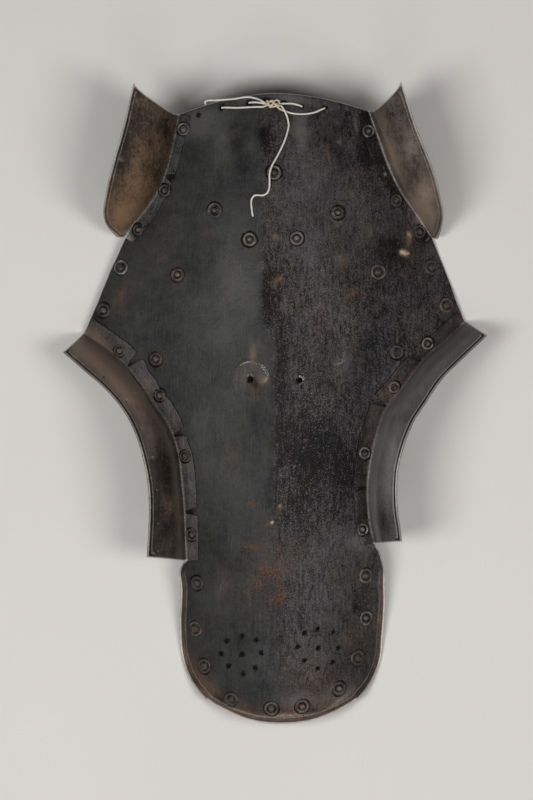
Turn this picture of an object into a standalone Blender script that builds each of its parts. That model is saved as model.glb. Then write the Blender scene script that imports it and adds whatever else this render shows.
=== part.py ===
"""Horse head armour (a chanfron) of riveted iron sheet, lying face up as it rests by itself.

Metres, +Z out of the face, +Y towards the crest, +X to the viewer's right. The tables are in
millimetres, measured from the middle of the face. The face plate is a vault, highest along a blunt
keel, and it rests on its two temple corners and on the sides of its nose end. Each guard is one
sheet bent at a crease: its tabs are riveted flat on the plate, and its flange stands up and flares
outwards.
"""
import math

import bmesh
import bpy
import numpy as np
from mathutils import Matrix, Vector

MM = 0.001

# Sheet and gaps
WALL = 1.3
GAP = 0.45  # between a tab and the plate under it

# Heights of the face plate's vault
KEEL_BLUNT = 9.0  # how far the keel's edge is rounded over
VAULT = (
    # along, keel height, side slope, roundness (fall for each square millimetre away from the keel)
    (-310.0, 34.0, 0.06, 0.0050),
    (-275.0, 53.0, 0.12, 0.0053),
    (-220.0, 67.0, 0.16, 0.0050),
    (-140.0, 77.0, 0.19, 0.0036),
    (-60.0, 85.0, 0.21, 0.0025),
    (0.0, 90.0, 0.22, 0.0020),
    (75.0, 92.0, 0.22, 0.0014),
    (160.0, 88.0, 0.20, 0.0022),
    (240.0, 80.0, 0.18, 0.0023),
    (300.0, 68.0, 0.16, 0.0023),
)
KEEL_DRIFT = 7.0  # the nose end is bent this far to the right
KEEL_DRIFT_FROM = -20.0
KEEL_DRIFT_TO = -200.0

# Guards: the crease lies on the plate's edge, and the rim is where the flange ends
GUARDS = {
    "ear_guard_left": (
        # crease x, crease y, rim x, rim y, rise, tab width
        (-90.3, 275.0, -132.0, 303.0, 46.0, 12.0),
        (-94.0, 254.0, -142.5, 258.5, 46.0, 9.5),
        (-101.0, 223.5, -151.5, 227.0, 44.0, 8.5),
        (-110.0, 202.0, -158.0, 200.0, 39.0, 9.0),
        (-121.6, 185.0, -161.0, 180.0, 31.0, 11.0),
        (-134.5, 169.6, -157.0, 167.5, 18.0, 11.5),
        (-141.5, 158.0, -147.0, 158.0, 6.0, 9.0),
    ),
    "ear_guard_right": (
        (90.0, 278.0, 119.3, 304.5, 46.0, 10.0),
        (98.8, 253.2, 134.5, 258.0, 46.0, 13.5),
        (110.2, 222.3, 148.5, 223.5, 44.0, 11.5),
        (118.8, 204.7, 155.5, 199.5, 39.0, 11.0),
        (132.0, 185.0, 159.6, 178.0, 30.0, 10.0),
        (142.5, 169.6, 157.5, 165.5, 17.0, 10.5),
        (151.0, 157.0, 154.0, 156.5, 6.0, 8.0),
    ),
    "eye_guard_left": (
        (-180.5, 67.0, -199.0, 49.5, 36.0, 16.0),
        (-159.0, 52.5, -179.0, 32.0, 38.0, 16.5),
        (-140.0, 36.0, -161.0, 16.5, 38.0, 15.5),
        (-126.0, 17.5, -146.0, 0.0, 38.0, 14.0),
        (-112.5, -2.0, -134.5, -18.0, 38.0, 13.5),
        (-99.5, -21.5, -127.0, -36.5, 38.0, 13.0),
        (-91.0, -45.0, -121.5, -57.0, 38.0, 12.5),
        (-87.0, -75.0, -117.5, -82.0, 38.0, 13.0),
        (-84.6, -103.0, -117.0, -107.0, 38.0, 12.0),
        (-83.5, -127.0, -118.0, -127.0, 37.0, 12.0),
        (-82.5, -149.0, -119.0, -145.5, 36.0, 10.5),
    ),
    "eye_guard_right": (
        (181.5, 78.0, 201.2, 65.0, 36.0, 12.5),
        (163.4, 60.0, 179.0, 44.5, 38.0, 13.0),
        (142.0, 42.0, 158.0, 23.5, 38.0, 13.5),
        (122.6, 16.2, 142.5, 1.0, 38.0, 15.0),
        (107.5, -2.4, 131.0, -17.0, 38.0, 15.5),
        (99.8, -20.4, 124.5, -32.0, 38.0, 14.5),
        (94.7, -39.0, 120.3, -45.0, 38.0, 15.0),
        (90.5, -62.0, 116.0, -64.0, 38.0, 14.0),
        (88.5, -80.0, 115.0, -82.0, 38.0, 13.0),
        (89.0, -97.0, 115.6, -99.5, 38.0, 13.0),
        (90.8, -114.0, 117.8, -116.0, 37.0, 13.0),
        (95.0, -132.5, 119.7, -130.6, 36.0, 12.0),
    ),
}
NOTCHES = {
    # where the tabs are cut apart, counted in rows of the guard's table
    "ear_guard_left": (2.3,),
    "ear_guard_right": (2.95,),
    "eye_guard_left": (2.05, 5.4, 8.0),
    "eye_guard_right": (2.1, 4.05, 8.0),
}
NOTCH_FOOT = 1.6  # width of a notch at the crease
NOTCH_MOUTH = 9.0  # and at the tabs' inner edge
STEP_ALONG = 14.0  # longest cell along a guard
FLARE = (
    # share of the way out to the rim, share of the rise
    (0.13, 0.36),
    (0.45, 0.73),
    (0.88, 0.93),
    (1.00, 1.00),
)

# Face plate: its edges outside the guards
CREST_RISE = 18.0  # the crest stands this far above its corners
CREST_POWER = 1.8  # 2 is a parabola, less is more pointed
TEMPLE_BULGE = 0.6  # the temple edges swell outwards this far
NOSE_SIDE_LEFT = ((-82.5, -149.0), (-87.0, -154.0), (-88.6, -185.0), (-89.3, -221.0))
NOSE_SIDE_RIGHT = ((95.0, -132.5), (101.5, -145.0), (105.4, -180.0), (104.0, -221.0))
NOSE_DEPTH = 83.5  # from the widest place of the nose end to its tip
NOSE_POWER = 2.2  # 2 is an ellipse, more is squarer
NOSE_FLANGE = 0.3  # the rim round the nose end is flat and ends this far above its bend
ROWS = {"ear": 6, "temple": 5, "eye": 10, "nose side": 3, "nose end": 6}
COLUMNS = 17
RIM_SHARE = 0.045  # the outermost cells' share of half the width

# A small flat on the keel, where a boss is bolted between the two middle holes
SEAT = (0.0, 22.0)

# Holes in the face plate alone
LACING_HOLE = 1.7
LACING_HOLES = (
    # x, y
    (-71.5, 274.0),
    (-49.6, 280.7),
    (-23.6, 285.4),
    (-7.3, 287.5),
    (9.9, 285.6),
    (26.4, 281.8),
    (48.2, 280.4),
    (70.7, 276.0),
)
MIDDLE_HOLE = 2.4
MIDDLE_HOLES = ((-22.3, 22.8), (24.5, 22.0))
BREATHING_HOLE = 1.5
BREATHING_HOLES = (
    # left cluster: middle, then clockwise from the top left
    (-30.4, -238.6),
    (-44.7, -225.6),
    (-30.4, -220.9),
    (-17.1, -224.7),
    (-12.4, -237.0),
    (-18.1, -251.3),
    (-29.5, -257.0),
    (-43.1, -249.4),
    (-50.4, -238.0),
    # right cluster
    (41.8, -232.6),
    (29.1, -218.0),
    (41.8, -213.9),
    (56.1, -217.1),
    (60.8, -232.8),
    (56.1, -246.2),
    (41.8, -251.8),
    (29.1, -244.2),
    (22.8, -231.3),
)

# Rivets
RIVET_SIZES = {
    # washer radius, head radius, head height
    "large": (8.3, 4.3, 3.2),
    "plain": (7.3, 3.8, 2.9),
    "small": (6.2, 3.5, 2.7),
}
WASHER_DOME = 1.3  # a washer rises this far from its edge to the head
SHANK = 1.7
PEENED = 3.1
PEENED_HEIGHT = 1.5
RIVET_GAP = 0.5
PEENED_GAP = 0.7
RIVET_SIDES = 8
HOLE_SIDES = 6
RIVETS = (
    # name, x, y, size, over a tab
    ("rivet_ear_left", -85.8, 260.8, "small", True),
    ("rivet_ear_left", -103.8, 202.4, "small", True),
    ("rivet_ear_left", -129.0, 165.4, "small", True),
    ("rivet_ear_right", 89.6, 258.9, "small", True),
    ("rivet_ear_right", 115.8, 193.2, "small", True),
    ("rivet_ear_right", 138.3, 163.6, "small", True),
    ("rivet_temple_left", -145.8, 129.7, "plain", False),
    ("rivet_temple_left", -162.6, 88.8, "plain", False),
    ("rivet_temple_right", 150.1, 129.7, "plain", False),
    ("rivet_temple_right", 164.4, 93.6, "plain", False),
    ("rivet_forehead", 0.0, 219.0, "plain", False),
    ("rivet_forehead", -56.5, 183.4, "plain", False),
    ("rivet_forehead", 60.6, 181.5, "plain", False),
    ("rivet_forehead", -23.3, 155.7, "plain", False),
    ("rivet_forehead", 21.6, 156.8, "plain", False),
    ("rivet_forehead", -91.7, 122.4, "plain", False),
    ("rivet_forehead", 99.1, 124.9, "plain", False),
    ("rivet_cheek_left", -112.5, 42.3, "plain", False),
    ("rivet_cheek_right", 116.9, 48.9, "plain", False),
    ("rivet_eye_left", -146.7, 50.4, "small", True),
    ("rivet_eye_left", -108.0, 7.8, "small", True),
    ("rivet_eye_left", -84.0, -49.9, "small", True),
    ("rivet_eye_left", -77.8, -124.5, "small", True),
    ("rivet_eye_right", 146.0, 57.0, "small", True),
    ("rivet_eye_right", 114.0, 15.5, "small", True),
    ("rivet_eye_right", 86.0, -47.0, "small", True),
    ("rivet_eye_right", 84.0, -119.7, "small", True),
    ("rivet_nose", -73.4, -171.0, "plain", False),
    ("rivet_nose", -75.0, -214.6, "plain", False),
    ("rivet_nose", -66.5, -250.3, "plain", False),
    ("rivet_nose", -40.8, -281.6, "plain", False),
    ("rivet_nose", -2.5, -290.2, "plain", False),
    ("rivet_nose", 26.9, -288.0, "plain", False),
    ("rivet_nose", 62.1, -271.2, "plain", False),
    ("rivet_nose", 79.8, -242.3, "large", False),
    ("rivet_nose", 87.7, -204.4, "plain", False),
    ("rivet_nose", 87.4, -163.9, "plain", False),
)

# String
CORD = 1.1  # radius
CORD_GAP = 0.35
ON_TOP = CORD + CORD_GAP
BEHIND = -WALL - CORD - CORD_GAP
TURN = 2.0  # radius of the cord's turn into a hole
CORD_STEP = 6.0  # farthest its points stand apart
CORD_BEND = 32.0  # degrees of bend that need another point
CORD_FINE = 12  # places looked at for each station of a route
KNOT_AT = (-1.4, 282.6)
KNOT_LENGTH = 13.0
KNOT_RADIUS = 3.6
KNOT_WRAPS = 4
KNOT_SIDES = 10

IRON = ((0.075, 0.078, 0.078), 0.55, 0.7)
RUSTY_IRON = ((0.115, 0.088, 0.062), 0.62, 0.6)
WORN_IRON = ((0.11, 0.10, 0.09), 0.5, 0.7)
TWINE = ((0.72, 0.66, 0.5), 0.75, 0.0)


def between(start, end, start_slope, end_slope, step, t):
    """A value the share t of the way along a smooth step that leaves and arrives with the given slopes."""
    return (
        (2 * t**3 - 3 * t**2 + 1) * start
        + (t**3 - 2 * t**2 + t) * step * start_slope
        + (3 * t**2 - 2 * t**3) * end
        + (t**3 - t**2) * step * end_slope
    )


def through(stations, places):
    """Points on a smooth curve through stations, at places counted in stations."""
    stations = np.array(stations, float)
    steps = np.linalg.norm(np.diff(stations, axis=0), axis=1)
    slopes = np.gradient(stations, np.concatenate(([0.0], np.cumsum(steps))), axis=0)
    points = []
    for place in places:
        i = int(min(max(math.floor(place), 0), len(stations) - 2))
        ends = (stations[i], stations[i + 1], slopes[i], slopes[i + 1])
        points.append(between(*ends, steps[i], place - i))
    return np.array(points)


VAULT_ALONG = np.array([row[0] for row in VAULT])
VAULT_VALUES = np.array([row[1:] for row in VAULT])
VAULT_SLOPES = np.gradient(VAULT_VALUES, VAULT_ALONG, axis=0)


def vault_section(y):
    """Keel height, side slope and roundness at one place along the face."""
    i = int(np.clip(np.searchsorted(VAULT_ALONG, y) - 1, 0, len(VAULT_ALONG) - 2))
    step = VAULT_ALONG[i + 1] - VAULT_ALONG[i]
    ends = (VAULT_VALUES[i], VAULT_VALUES[i + 1], VAULT_SLOPES[i], VAULT_SLOPES[i + 1])
    return between(*ends, step, (y - VAULT_ALONG[i]) / step)


def keel_x(y):
    share = min(max((y - KEEL_DRIFT_FROM) / (KEEL_DRIFT_TO - KEEL_DRIFT_FROM), 0), 1)
    return KEEL_DRIFT * share * share * (3 - 2 * share)


def vault_height(x, y):
    keel, slope, roundness = vault_section(y)
    across = x - keel_x(y)
    return keel - slope * (math.hypot(across, KEEL_BLUNT) - KEEL_BLUNT) - roundness * across**2


def vault_normal(x, y):
    step = 0.5
    fall_x = (vault_height(x + step, y) - vault_height(x - step, y)) / (2 * step)
    fall_y = (vault_height(x, y + step) - vault_height(x, y - step)) / (2 * step)
    return Vector((-fall_x, -fall_y, 1.0)).normalized()


def on_vault(x, y, lift=0.0):
    """The point lift millimetres off the plate's outer face."""
    return Vector((x, y, vault_height(x, y))) + vault_normal(x, y) * lift


def material(name, finish):
    colour, roughness, metallic = finish
    made = bpy.data.materials.new(name)
    made.use_nodes = True
    shader = made.node_tree.nodes["Principled BSDF"]
    shader.inputs["Base Color"].default_value = (*colour, 1.0)
    shader.inputs["Roughness"].default_value = roughness
    shader.inputs["Metallic"].default_value = metallic
    return made


def new_object(name, data, collection, parent, finish=None):
    made = bpy.data.objects.new(name, data)
    collection.objects.link(made)
    made.parent = parent
    if finish:
        data.materials.append(finish)
    return made


def mesh_from(bm, name):
    bm.normal_update()
    mesh = bpy.data.meshes.new(name)
    bm.to_mesh(mesh)
    bm.free()
    mesh.shade_smooth()
    return mesh


def solidify(piece):
    """Gives a sheet its thickness, on the side away from the viewer."""
    wall = piece.modifiers.new("wall", "SOLIDIFY")
    wall.thickness = WALL * MM
    wall.offset = -1.0


def cut(piece, cutter):
    holes = piece.modifiers.new("holes", "BOOLEAN")
    holes.operation = "DIFFERENCE"
    holes.solver = "EXACT"
    holes.object = cutter


def grid(columns, rows):
    """A flat grid of cells, and its vertices by [row][column]."""
    bm = bmesh.new()
    bmesh.ops.create_grid(bm, x_segments=columns, y_segments=rows, size=0.5)
    table = [[None] * (columns + 1) for _ in range(rows + 1)]
    for vertex in bm.verts:
        row = round((0.5 - vertex.co.y) * rows)
        column = round((vertex.co.x + 0.5) * columns)
        table[row][column] = vertex
    return bm, table


# ---- face plate


def crease_points(guard, count):
    """Points along a guard's crease, from the crest end, with the first one left out."""
    stations = [row[:2] for row in GUARDS[guard]]
    return through(stations, np.linspace(0, len(stations) - 1, count + 1)[1:])


def temple_points(side, count):
    top = np.array(GUARDS[f"ear_guard_{side}"][-1][:2])
    bottom = np.array(GUARDS[f"eye_guard_{side}"][0][:2])
    outward = 1.0 if side == "right" else -1.0
    points = []
    for share in np.linspace(0, 1, count + 1)[1:]:
        point = top + (bottom - top) * share
        point[0] += outward * TEMPLE_BULGE * 4 * share * (1 - share)
        points.append(point)
    return points


def nose_end(share, side):
    """A point on the nose end's outline, from its widest place (0) towards its tip (1)."""
    left, right = NOSE_SIDE_LEFT[-1], NOSE_SIDE_RIGHT[-1]
    centre = (left[0] + right[0]) / 2
    half = (right[0] - left[0]) / 2
    angle = math.radians(45) * share
    out = math.cos(angle) ** (2 / NOSE_POWER) * half
    down = math.sin(angle) ** (2 / NOSE_POWER) * NOSE_DEPTH
    return np.array((centre + (out if side == "right" else -out), left[1] - down))


def side_points(side):
    """The plate's edge on one side, one point for each row, from the crest to the nose end."""
    nose_side = NOSE_SIDE_LEFT if side == "left" else NOSE_SIDE_RIGHT
    nose_places = np.linspace(0, len(nose_side) - 1, ROWS["nose side"] + 1)[1:]
    points = [np.array(GUARDS[f"ear_guard_{side}"][0][:2])]
    points.extend(crease_points(f"ear_guard_{side}", ROWS["ear"]))
    points.extend(temple_points(side, ROWS["temple"]))
    points.extend(crease_points(f"eye_guard_{side}", ROWS["eye"]))
    points.extend(through(nose_side, nose_places))
    points.extend(nose_end(share, side) for share in nose_end_shares())
    return points


def nose_end_shares():
    """How far each row of the nose end has come, with a narrow last row for the rim."""
    count = ROWS["nose end"]
    return [*(np.arange(1, count) / (count - 1) * (1 - RIM_SHARE)), 1.0]


def row_bows():
    """How far the middle of each row lies above its ends: up at the crest, down at the nose."""
    ear = ROWS["ear"]
    flat = ROWS["temple"] + ROWS["eye"] + ROWS["nose side"]
    bows = [CREST_RISE * (1 - row / ear) for row in range(ear + 1)] + [0.0] * flat
    widest = NOSE_SIDE_LEFT[-1][1]
    for share in nose_end_shares():
        bows.append(widest - NOSE_DEPTH * share - nose_end(share, "left")[1])
    return bows


def column_places():
    """Where the columns stand, from -1 at the left edge to 1 at the right edge."""
    inner = np.linspace(-1 + RIM_SHARE, 1 - RIM_SHARE, COLUMNS - 1)
    return [-1.0, *inner, 1.0]


def face_plate_mesh():
    left, right, bows = side_points("left"), side_points("right"), row_bows()
    places = column_places()
    bm, table = grid(len(places) - 1, len(bows) - 1)
    for row, bow in enumerate(bows):
        for column, place in enumerate(places):
            x, y = left[row] + (right[row] - left[row]) * (place + 1) / 2
            y += bow * (1 - abs(place) ** (CREST_POWER if bow > 0 else NOSE_POWER))
            table[row][column].co = (x, y, vault_height(x, y))
    flatten_seat(table)
    raise_nose_flange(table)
    bmesh.ops.scale(bm, vec=(MM, MM, MM), verts=bm.verts)
    return mesh_from(bm, "face_plate")


def flatten_seat(table):
    """Puts the corners of the cell at the seat on one plane, which falls as the keel does."""
    x, y = SEAT
    corners = sorted(
        (vertex for row in table for vertex in row),
        key=lambda vertex: math.hypot(vertex.co.x - x, (vertex.co.y - y)),
    )[:4]
    height = sum(vertex.co.z for vertex in corners) / 4
    middle = sum(vertex.co.y for vertex in corners) / 4
    fall = (vault_height(x, y + 10) - vault_height(x, y - 10)) / 20
    for vertex in corners:
        vertex.co.z = height + fall * (vertex.co.y - middle)


def raise_nose_flange(table):
    """Turns the outermost cells round the nose end flat, as a narrow rim."""
    first = ROWS["ear"] + ROWS["temple"] + ROWS["eye"] + 1
    for row in table[first:-1]:
        row[0].co.z = row[1].co.z + NOSE_FLANGE
        row[-1].co.z = row[-2].co.z + NOSE_FLANGE
    for outer, inner in zip(table[-1][1:-1], table[-2][1:-1], strict=True):
        outer.co.z = inner.co.z + NOSE_FLANGE
    table[-1][0].co.z = table[-2][1].co.z + NOSE_FLANGE
    table[-1][-1].co.z = table[-2][-2].co.z + NOSE_FLANGE


# ---- guards


def guard_places(guard):
    """Places along a guard's table for its stations, and the cells between them that a notch opens."""
    stations = GUARDS[guard]
    length = [math.dist(a[:2], b[:2]) for a, b in zip(stations, stations[1:], strict=False)]
    cell = sum(length) / len(length)
    foot = NOTCH_FOOT / 2 / cell
    stops = [0.0]
    for notch in NOTCHES[guard]:
        stops += [notch - foot, notch + foot]
    stops.append(len(stations) - 1.0)
    places, open_cells = [0.0], set()
    for i, (start, end) in enumerate(zip(stops, stops[1:], strict=False)):
        if i % 2:
            open_cells.add(len(places) - 1)
        steps = 1 if i % 2 else math.ceil((end - start) * cell / STEP_ALONG)
        places.extend(np.linspace(start, end, steps + 1)[1:])
    return places, open_cells


def guard_mesh(guard):
    """A guard's upper face: a tab half and a flange half that meet at the crease."""
    places, open_cells = guard_places(guard)
    rows = through(GUARDS[guard], places)
    along = np.gradient(rows[:, :2], axis=0)
    inward_sign = 1.0 if guard.endswith("left") else -1.0
    bm, table = grid(len(FLARE) + 1, len(rows) - 1)
    for i, (x, y, rim_x, rim_y, rise, tab) in enumerate(rows):
        way = Vector(along[i]).normalized()
        inward = Vector((-way.y, way.x)) * inward_sign
        lean = (i - 1 in open_cells) * 1.0 - (i in open_cells) * 1.0
        lean *= (NOTCH_MOUTH - NOTCH_FOOT) / 2
        foot = Vector((x, y)) + inward * tab + way * lean
        crease = on_vault(x, y, GAP + WALL)
        table[i][0].co = on_vault(foot.x, foot.y, GAP + WALL)
        table[i][1].co = crease
        for column, (share_out, share_up) in enumerate(FLARE, start=2):
            out = Vector((rim_x - x, rim_y - y, 0.0)) * share_out
            table[i][column].co = crease + out + Vector((0, 0, rise * share_up))
    tab_edges = {table[i][0] for i in open_cells}, {table[i + 1][0] for i in open_cells}
    loose = [
        face
        for face in bm.faces
        if tab_edges[0] & set(face.verts) and tab_edges[1] & set(face.verts)
    ]
    bmesh.ops.delete(bm, geom=loose, context="FACES_ONLY")
    bmesh.ops.recalc_face_normals(bm, faces=bm.faces)
    if table[0][1].link_faces[0].normal.z < 0:
        bmesh.ops.reverse_faces(bm, faces=bm.faces)
    bmesh.ops.scale(bm, vec=(MM, MM, MM), verts=bm.verts)
    return mesh_from(bm, guard)


# ---- rivets and holes


def rivet_profile(size, over_tab):
    """Half section of a rivet and its washer, from the head's top to the peened end."""
    washer, head, height = RIVET_SIZES[size]
    base = (GAP + WALL if over_tab else 0.0) + RIVET_GAP
    under = -WALL - PEENED_GAP
    return (
        (0.0, base + height),
        (head * 0.75, base + height * 0.8),
        (head, base + WASHER_DOME),
        (washer, base),
        (SHANK, base),
        (SHANK, under),
        (PEENED, under),
        (0.0, under - PEENED_HEIGHT),
    )


def rivet_mesh(size, over_tab):
    bm = bmesh.new()
    points = [bm.verts.new((r * MM, 0.0, z * MM)) for r, z in rivet_profile(size, over_tab)]
    for a, b in zip(points, points[1:], strict=False):
        bm.edges.new((a, b))
    mesh = bpy.data.meshes.new(f"rivet_{size}{'_tab' if over_tab else ''}")
    bm.to_mesh(mesh)
    bm.free()
    return mesh


def standing(x, y):
    """The matrix that stands a piece on the plate's outer face, along its normal."""
    turn = vault_normal(x, y).to_track_quat("Z", "X").to_matrix().to_4x4()
    return Matrix.Translation(on_vault(x, y) * MM) @ turn


def make_rivets(collection, parent, finish):
    meshes, counts = {}, {}
    for name, x, y, size, over_tab in RIVETS:
        kind = (size, over_tab)
        if kind not in meshes:
            meshes[kind] = rivet_mesh(size, over_tab)
            meshes[kind].materials.append(finish)
        counts[name] = counts.get(name, 0) + 1
        rivet = new_object(f"{name}_{counts[name]}", meshes[kind], collection, parent)
        rivet.matrix_local = standing(x, y)
        turned = rivet.modifiers.new("turned", "SCREW")
        turned.steps = turned.render_steps = RIVET_SIDES
        turned.use_merge_vertices = True
        turned.merge_threshold = 0.00001


def make_hole_cutter(collection, parent):
    """All the holes' cylinders as one cutter."""
    holes = [(x, y, LACING_HOLE) for x, y in LACING_HOLES]
    holes += [(x, y, MIDDLE_HOLE) for x, y in MIDDLE_HOLES]
    holes += [(x, y, BREATHING_HOLE) for x, y in BREATHING_HOLES]
    holes += [(x, y, SHANK + GAP) for _, x, y, _, _ in RIVETS]
    bm = bmesh.new()
    for x, y, radius in holes:
        bmesh.ops.create_cone(
            bm,
            cap_ends=True,
            segments=HOLE_SIDES,
            radius1=radius * MM,
            radius2=radius * MM,
            depth=12 * MM,
            matrix=standing(x, y),
        )
    cutter = new_object("holes", mesh_from(bm, "holes"), collection, parent)
    cutter.hide_render = True
    cutter.display_type = "WIRE"
    return cutter


# ---- string


def passage(hole, come_from, go_to, down=True):
    """A cord's stations through a hole: round a quarter turn, through the wall, and round another."""
    hole = Vector(hole)
    back = (Vector(come_from) - hole).normalized()
    onward = (Vector(go_to) - hole).normalized()
    first, last, sense = (ON_TOP, BEHIND, -1.0) if down else (BEHIND, ON_TOP, 1.0)
    turned = [math.radians(angle) for angle in (0, 45, 90)]
    stations = []
    for angle in turned:
        side = hole + back * TURN * (1 - math.sin(angle))
        stations.append((*side, first + sense * TURN * (1 - math.cos(angle))))
    for angle in reversed(turned):
        side = hole + onward * TURN * (1 - math.sin(angle))
        stations.append((*side, last - sense * TURN * (1 - math.cos(angle))))
    return stations


WIDE_LEFT, WIDE_RIGHT = LACING_HOLES[1], LACING_HOLES[6]
NARROW_LEFT, NARROW_RIGHT = LACING_HOLES[2], LACING_HOLES[5]
STRING_ROUTES = {
    # x, y, lift off the plate's outer face
    "string_loop_wide": [
        (-9.4, 281.0, ON_TOP + 0.6),
        (-20.0, 281.0, ON_TOP),
        (-34.0, 280.4, ON_TOP),
        *passage(WIDE_LEFT, (-34.0, 280.4), (-34.0, 276.0)),
        (-34.0, 276.5, BEHIND),
        (-12.0, 274.5, BEHIND),
        (12.0, 274.5, BEHIND),
        (32.0, 276.5, BEHIND),
        *passage(WIDE_RIGHT, (32.0, 276.5), (40.0, 277.0), down=False),
        (38.0, 276.0, ON_TOP),
        (28.0, 274.4, ON_TOP),
        (17.0, 275.0, ON_TOP),
        (7.6, 277.8, ON_TOP + 0.2),
    ],
    "string_loop_narrow": [
        (-9.6, 284.2, ON_TOP),
        (-14.0, 285.2, ON_TOP),
        *passage(NARROW_LEFT, (-14.0, 285.2), (-12.0, 281.0)),
        (-12.0, 281.5, BEHIND),
        (2.0, 280.0, BEHIND),
        (15.0, 280.5, BEHIND),
        *passage(NARROW_RIGHT, (15.0, 280.5), (20.0, 283.4), down=False),
        (18.0, 284.0, ON_TOP + 0.3),
        (6.8, 283.9, ON_TOP + 0.9),
    ],
    "string_end_back": [
        (-9.2, 285.0, ON_TOP + 3.0),
        (-14.0, 288.0, ON_TOP + 1.2),
        (-22.3, 290.4, ON_TOP),
        (-38.5, 288.8, ON_TOP),
        (-50.0, 288.0, ON_TOP),
        (-57.0, 287.6, ON_TOP),
        (-61.5, 287.6, ON_TOP + 0.3),
        (-65.2, 286.6, 0.4),
        (-66.0, 285.0, -2.0),
        (-64.5, 282.0, BEHIND - 0.6),
        (-61.0, 278.0, BEHIND - 0.2),
    ],
    "string_tail": [
        (6.8, 280.9, ON_TOP + 2.4),
        (9.2, 276.8, ON_TOP + 2.8),
        (12.3, 270.2, ON_TOP + 0.8),
        (13.6, 263.9, ON_TOP),
        (12.3, 256.8, ON_TOP),
        (9.5, 248.1, ON_TOP),
        (5.6, 239.5, ON_TOP),
        (1.6, 231.6, ON_TOP + 1.2),
        (-1.9, 224.5, ON_TOP + 2.8),
        (-3.7, 217.4, ON_TOP + 3.4),
        (-4.0, 209.5, ON_TOP + 1.2),
        (-4.6, 203.2, ON_TOP),
        (-6.6, 199.1, ON_TOP),
        (-10.0, 197.2, ON_TOP),
        (-14.4, 197.3, ON_TOP),
        (-18.4, 196.8, ON_TOP),
        (-20.6, 194.0, ON_TOP),
        (-21.2, 189.6, ON_TOP),
        (-20.6, 183.2, ON_TOP),
        (-19.7, 177.2, ON_TOP),
    ],
}


def spaced(points):
    """Some of a fine line's points: enough for its length and for its bends."""
    kept = [0]
    for i in range(1, len(points) - 1):
        since = (points[i] - points[kept[-1]]).length
        start = points[kept[-1] + 1] - points[kept[-1]]
        bend = math.degrees(start.angle(points[i + 1] - points[i]))
        if since >= CORD_STEP or bend >= CORD_BEND:
            kept.append(i)
    return [points[i] for i in kept] + [points[-1]]


def make_cord(name, route, collection, parent, finish):
    """A cord along the smooth curve through its route's stations."""
    places = np.linspace(0, len(route) - 1, len(route) * CORD_FINE)
    points = spaced([on_vault(x, y, lift) for x, y, lift in through(route, places)])
    curve = bpy.data.curves.new(name, "CURVE")
    curve.dimensions = "3D"
    curve.bevel_depth = CORD * MM
    curve.bevel_resolution = 2
    curve.use_fill_caps = True
    spline = curve.splines.new("POLY")
    spline.points.add(len(points) - 1)
    for made, point in zip(spline.points, points, strict=True):
        made.co = (*(point * MM), 1.0)
    return new_object(name, curve, collection, parent, finish)


def make_knot(collection, parent, finish):
    """The knot: a short barrel of wraps, turned about its length."""
    profile = []
    steps = KNOT_WRAPS * 3
    for i in range(steps + 1):
        share = i / steps
        body = math.sin(math.pi * min(max(share, 0.0), 1.0)) ** 0.5
        wrap = 1 - 0.13 * math.cos(math.pi * 2 * KNOT_WRAPS * share)
        radius = 0.0 if i in (0, steps) else KNOT_RADIUS * body * wrap
        profile.append((radius, KNOT_LENGTH * (0.5 - share)))
    bm = bmesh.new()
    points = [bm.verts.new((r * MM, 0.0, z * MM)) for r, z in profile]
    for a, b in zip(points, points[1:], strict=False):
        bm.edges.new((a, b))
    mesh = bpy.data.meshes.new("string_knot")
    bm.to_mesh(mesh)
    bm.free()
    knot = new_object("string_knot", mesh, collection, parent, finish)
    turned = knot.modifiers.new("turned", "SCREW")
    turned.steps = turned.render_steps = KNOT_SIDES
    turned.use_merge_vertices = True
    turned.merge_threshold = 0.00001
    lift = KNOT_RADIUS * 1.13 + CORD_GAP
    along_x = Matrix.Rotation(math.radians(90), 4, "Y")
    knot.matrix_local = Matrix.Translation(on_vault(*KNOT_AT, lift) * MM) @ along_x
    return knot


def centre_on_ground(root, pieces):
    """Moves the whole object so that its box stands centred on the origin."""
    bpy.context.view_layer.update()
    graph = bpy.context.evaluated_depsgraph_get()
    corners = []
    for piece in pieces:
        made = piece.evaluated_get(graph)
        corners.extend(made.matrix_world @ vertex.co for vertex in made.to_mesh().vertices)
    low = Vector(min(corner[axis] for corner in corners) for axis in range(3))
    high = Vector(max(corner[axis] for corner in corners) for axis in range(3))
    root.location = (-(low.x + high.x) / 2, -(low.y + high.y) / 2, -low.z)
    bpy.context.view_layer.update()


def main():
    for old in list(bpy.data.objects):
        bpy.data.objects.remove(old, do_unlink=True)
    parts = bpy.data.collections.new("horse_head_armour")
    cutters = bpy.data.collections.new("cutters")
    for collection in (parts, cutters):
        bpy.context.scene.collection.children.link(collection)
    root = bpy.data.objects.new("horse_head_armour_root", None)
    parts.objects.link(root)

    cutter = make_hole_cutter(cutters, root)
    iron = material("blackened_iron", IRON)
    sheets = [new_object("face_plate", face_plate_mesh(), parts, root, iron)]
    for guard in GUARDS:
        finish = material(f"{guard}_iron", RUSTY_IRON)
        sheets.append(new_object(guard, guard_mesh(guard), parts, root, finish))
    for sheet in sheets:
        solidify(sheet)
        cut(sheet, cutter)
    make_rivets(parts, root, material("worn_iron", WORN_IRON))
    twine = material("twine", TWINE)
    for name, route in STRING_ROUTES.items():
        make_cord(name, route, parts, root, twine)
    make_knot(parts, root, twine)
    iron_pieces = [
        piece
        for piece in parts.objects
        if piece.type == "MESH" and not piece.name.startswith("string")
    ]
    centre_on_ground(root, iron_pieces)


main()
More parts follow.
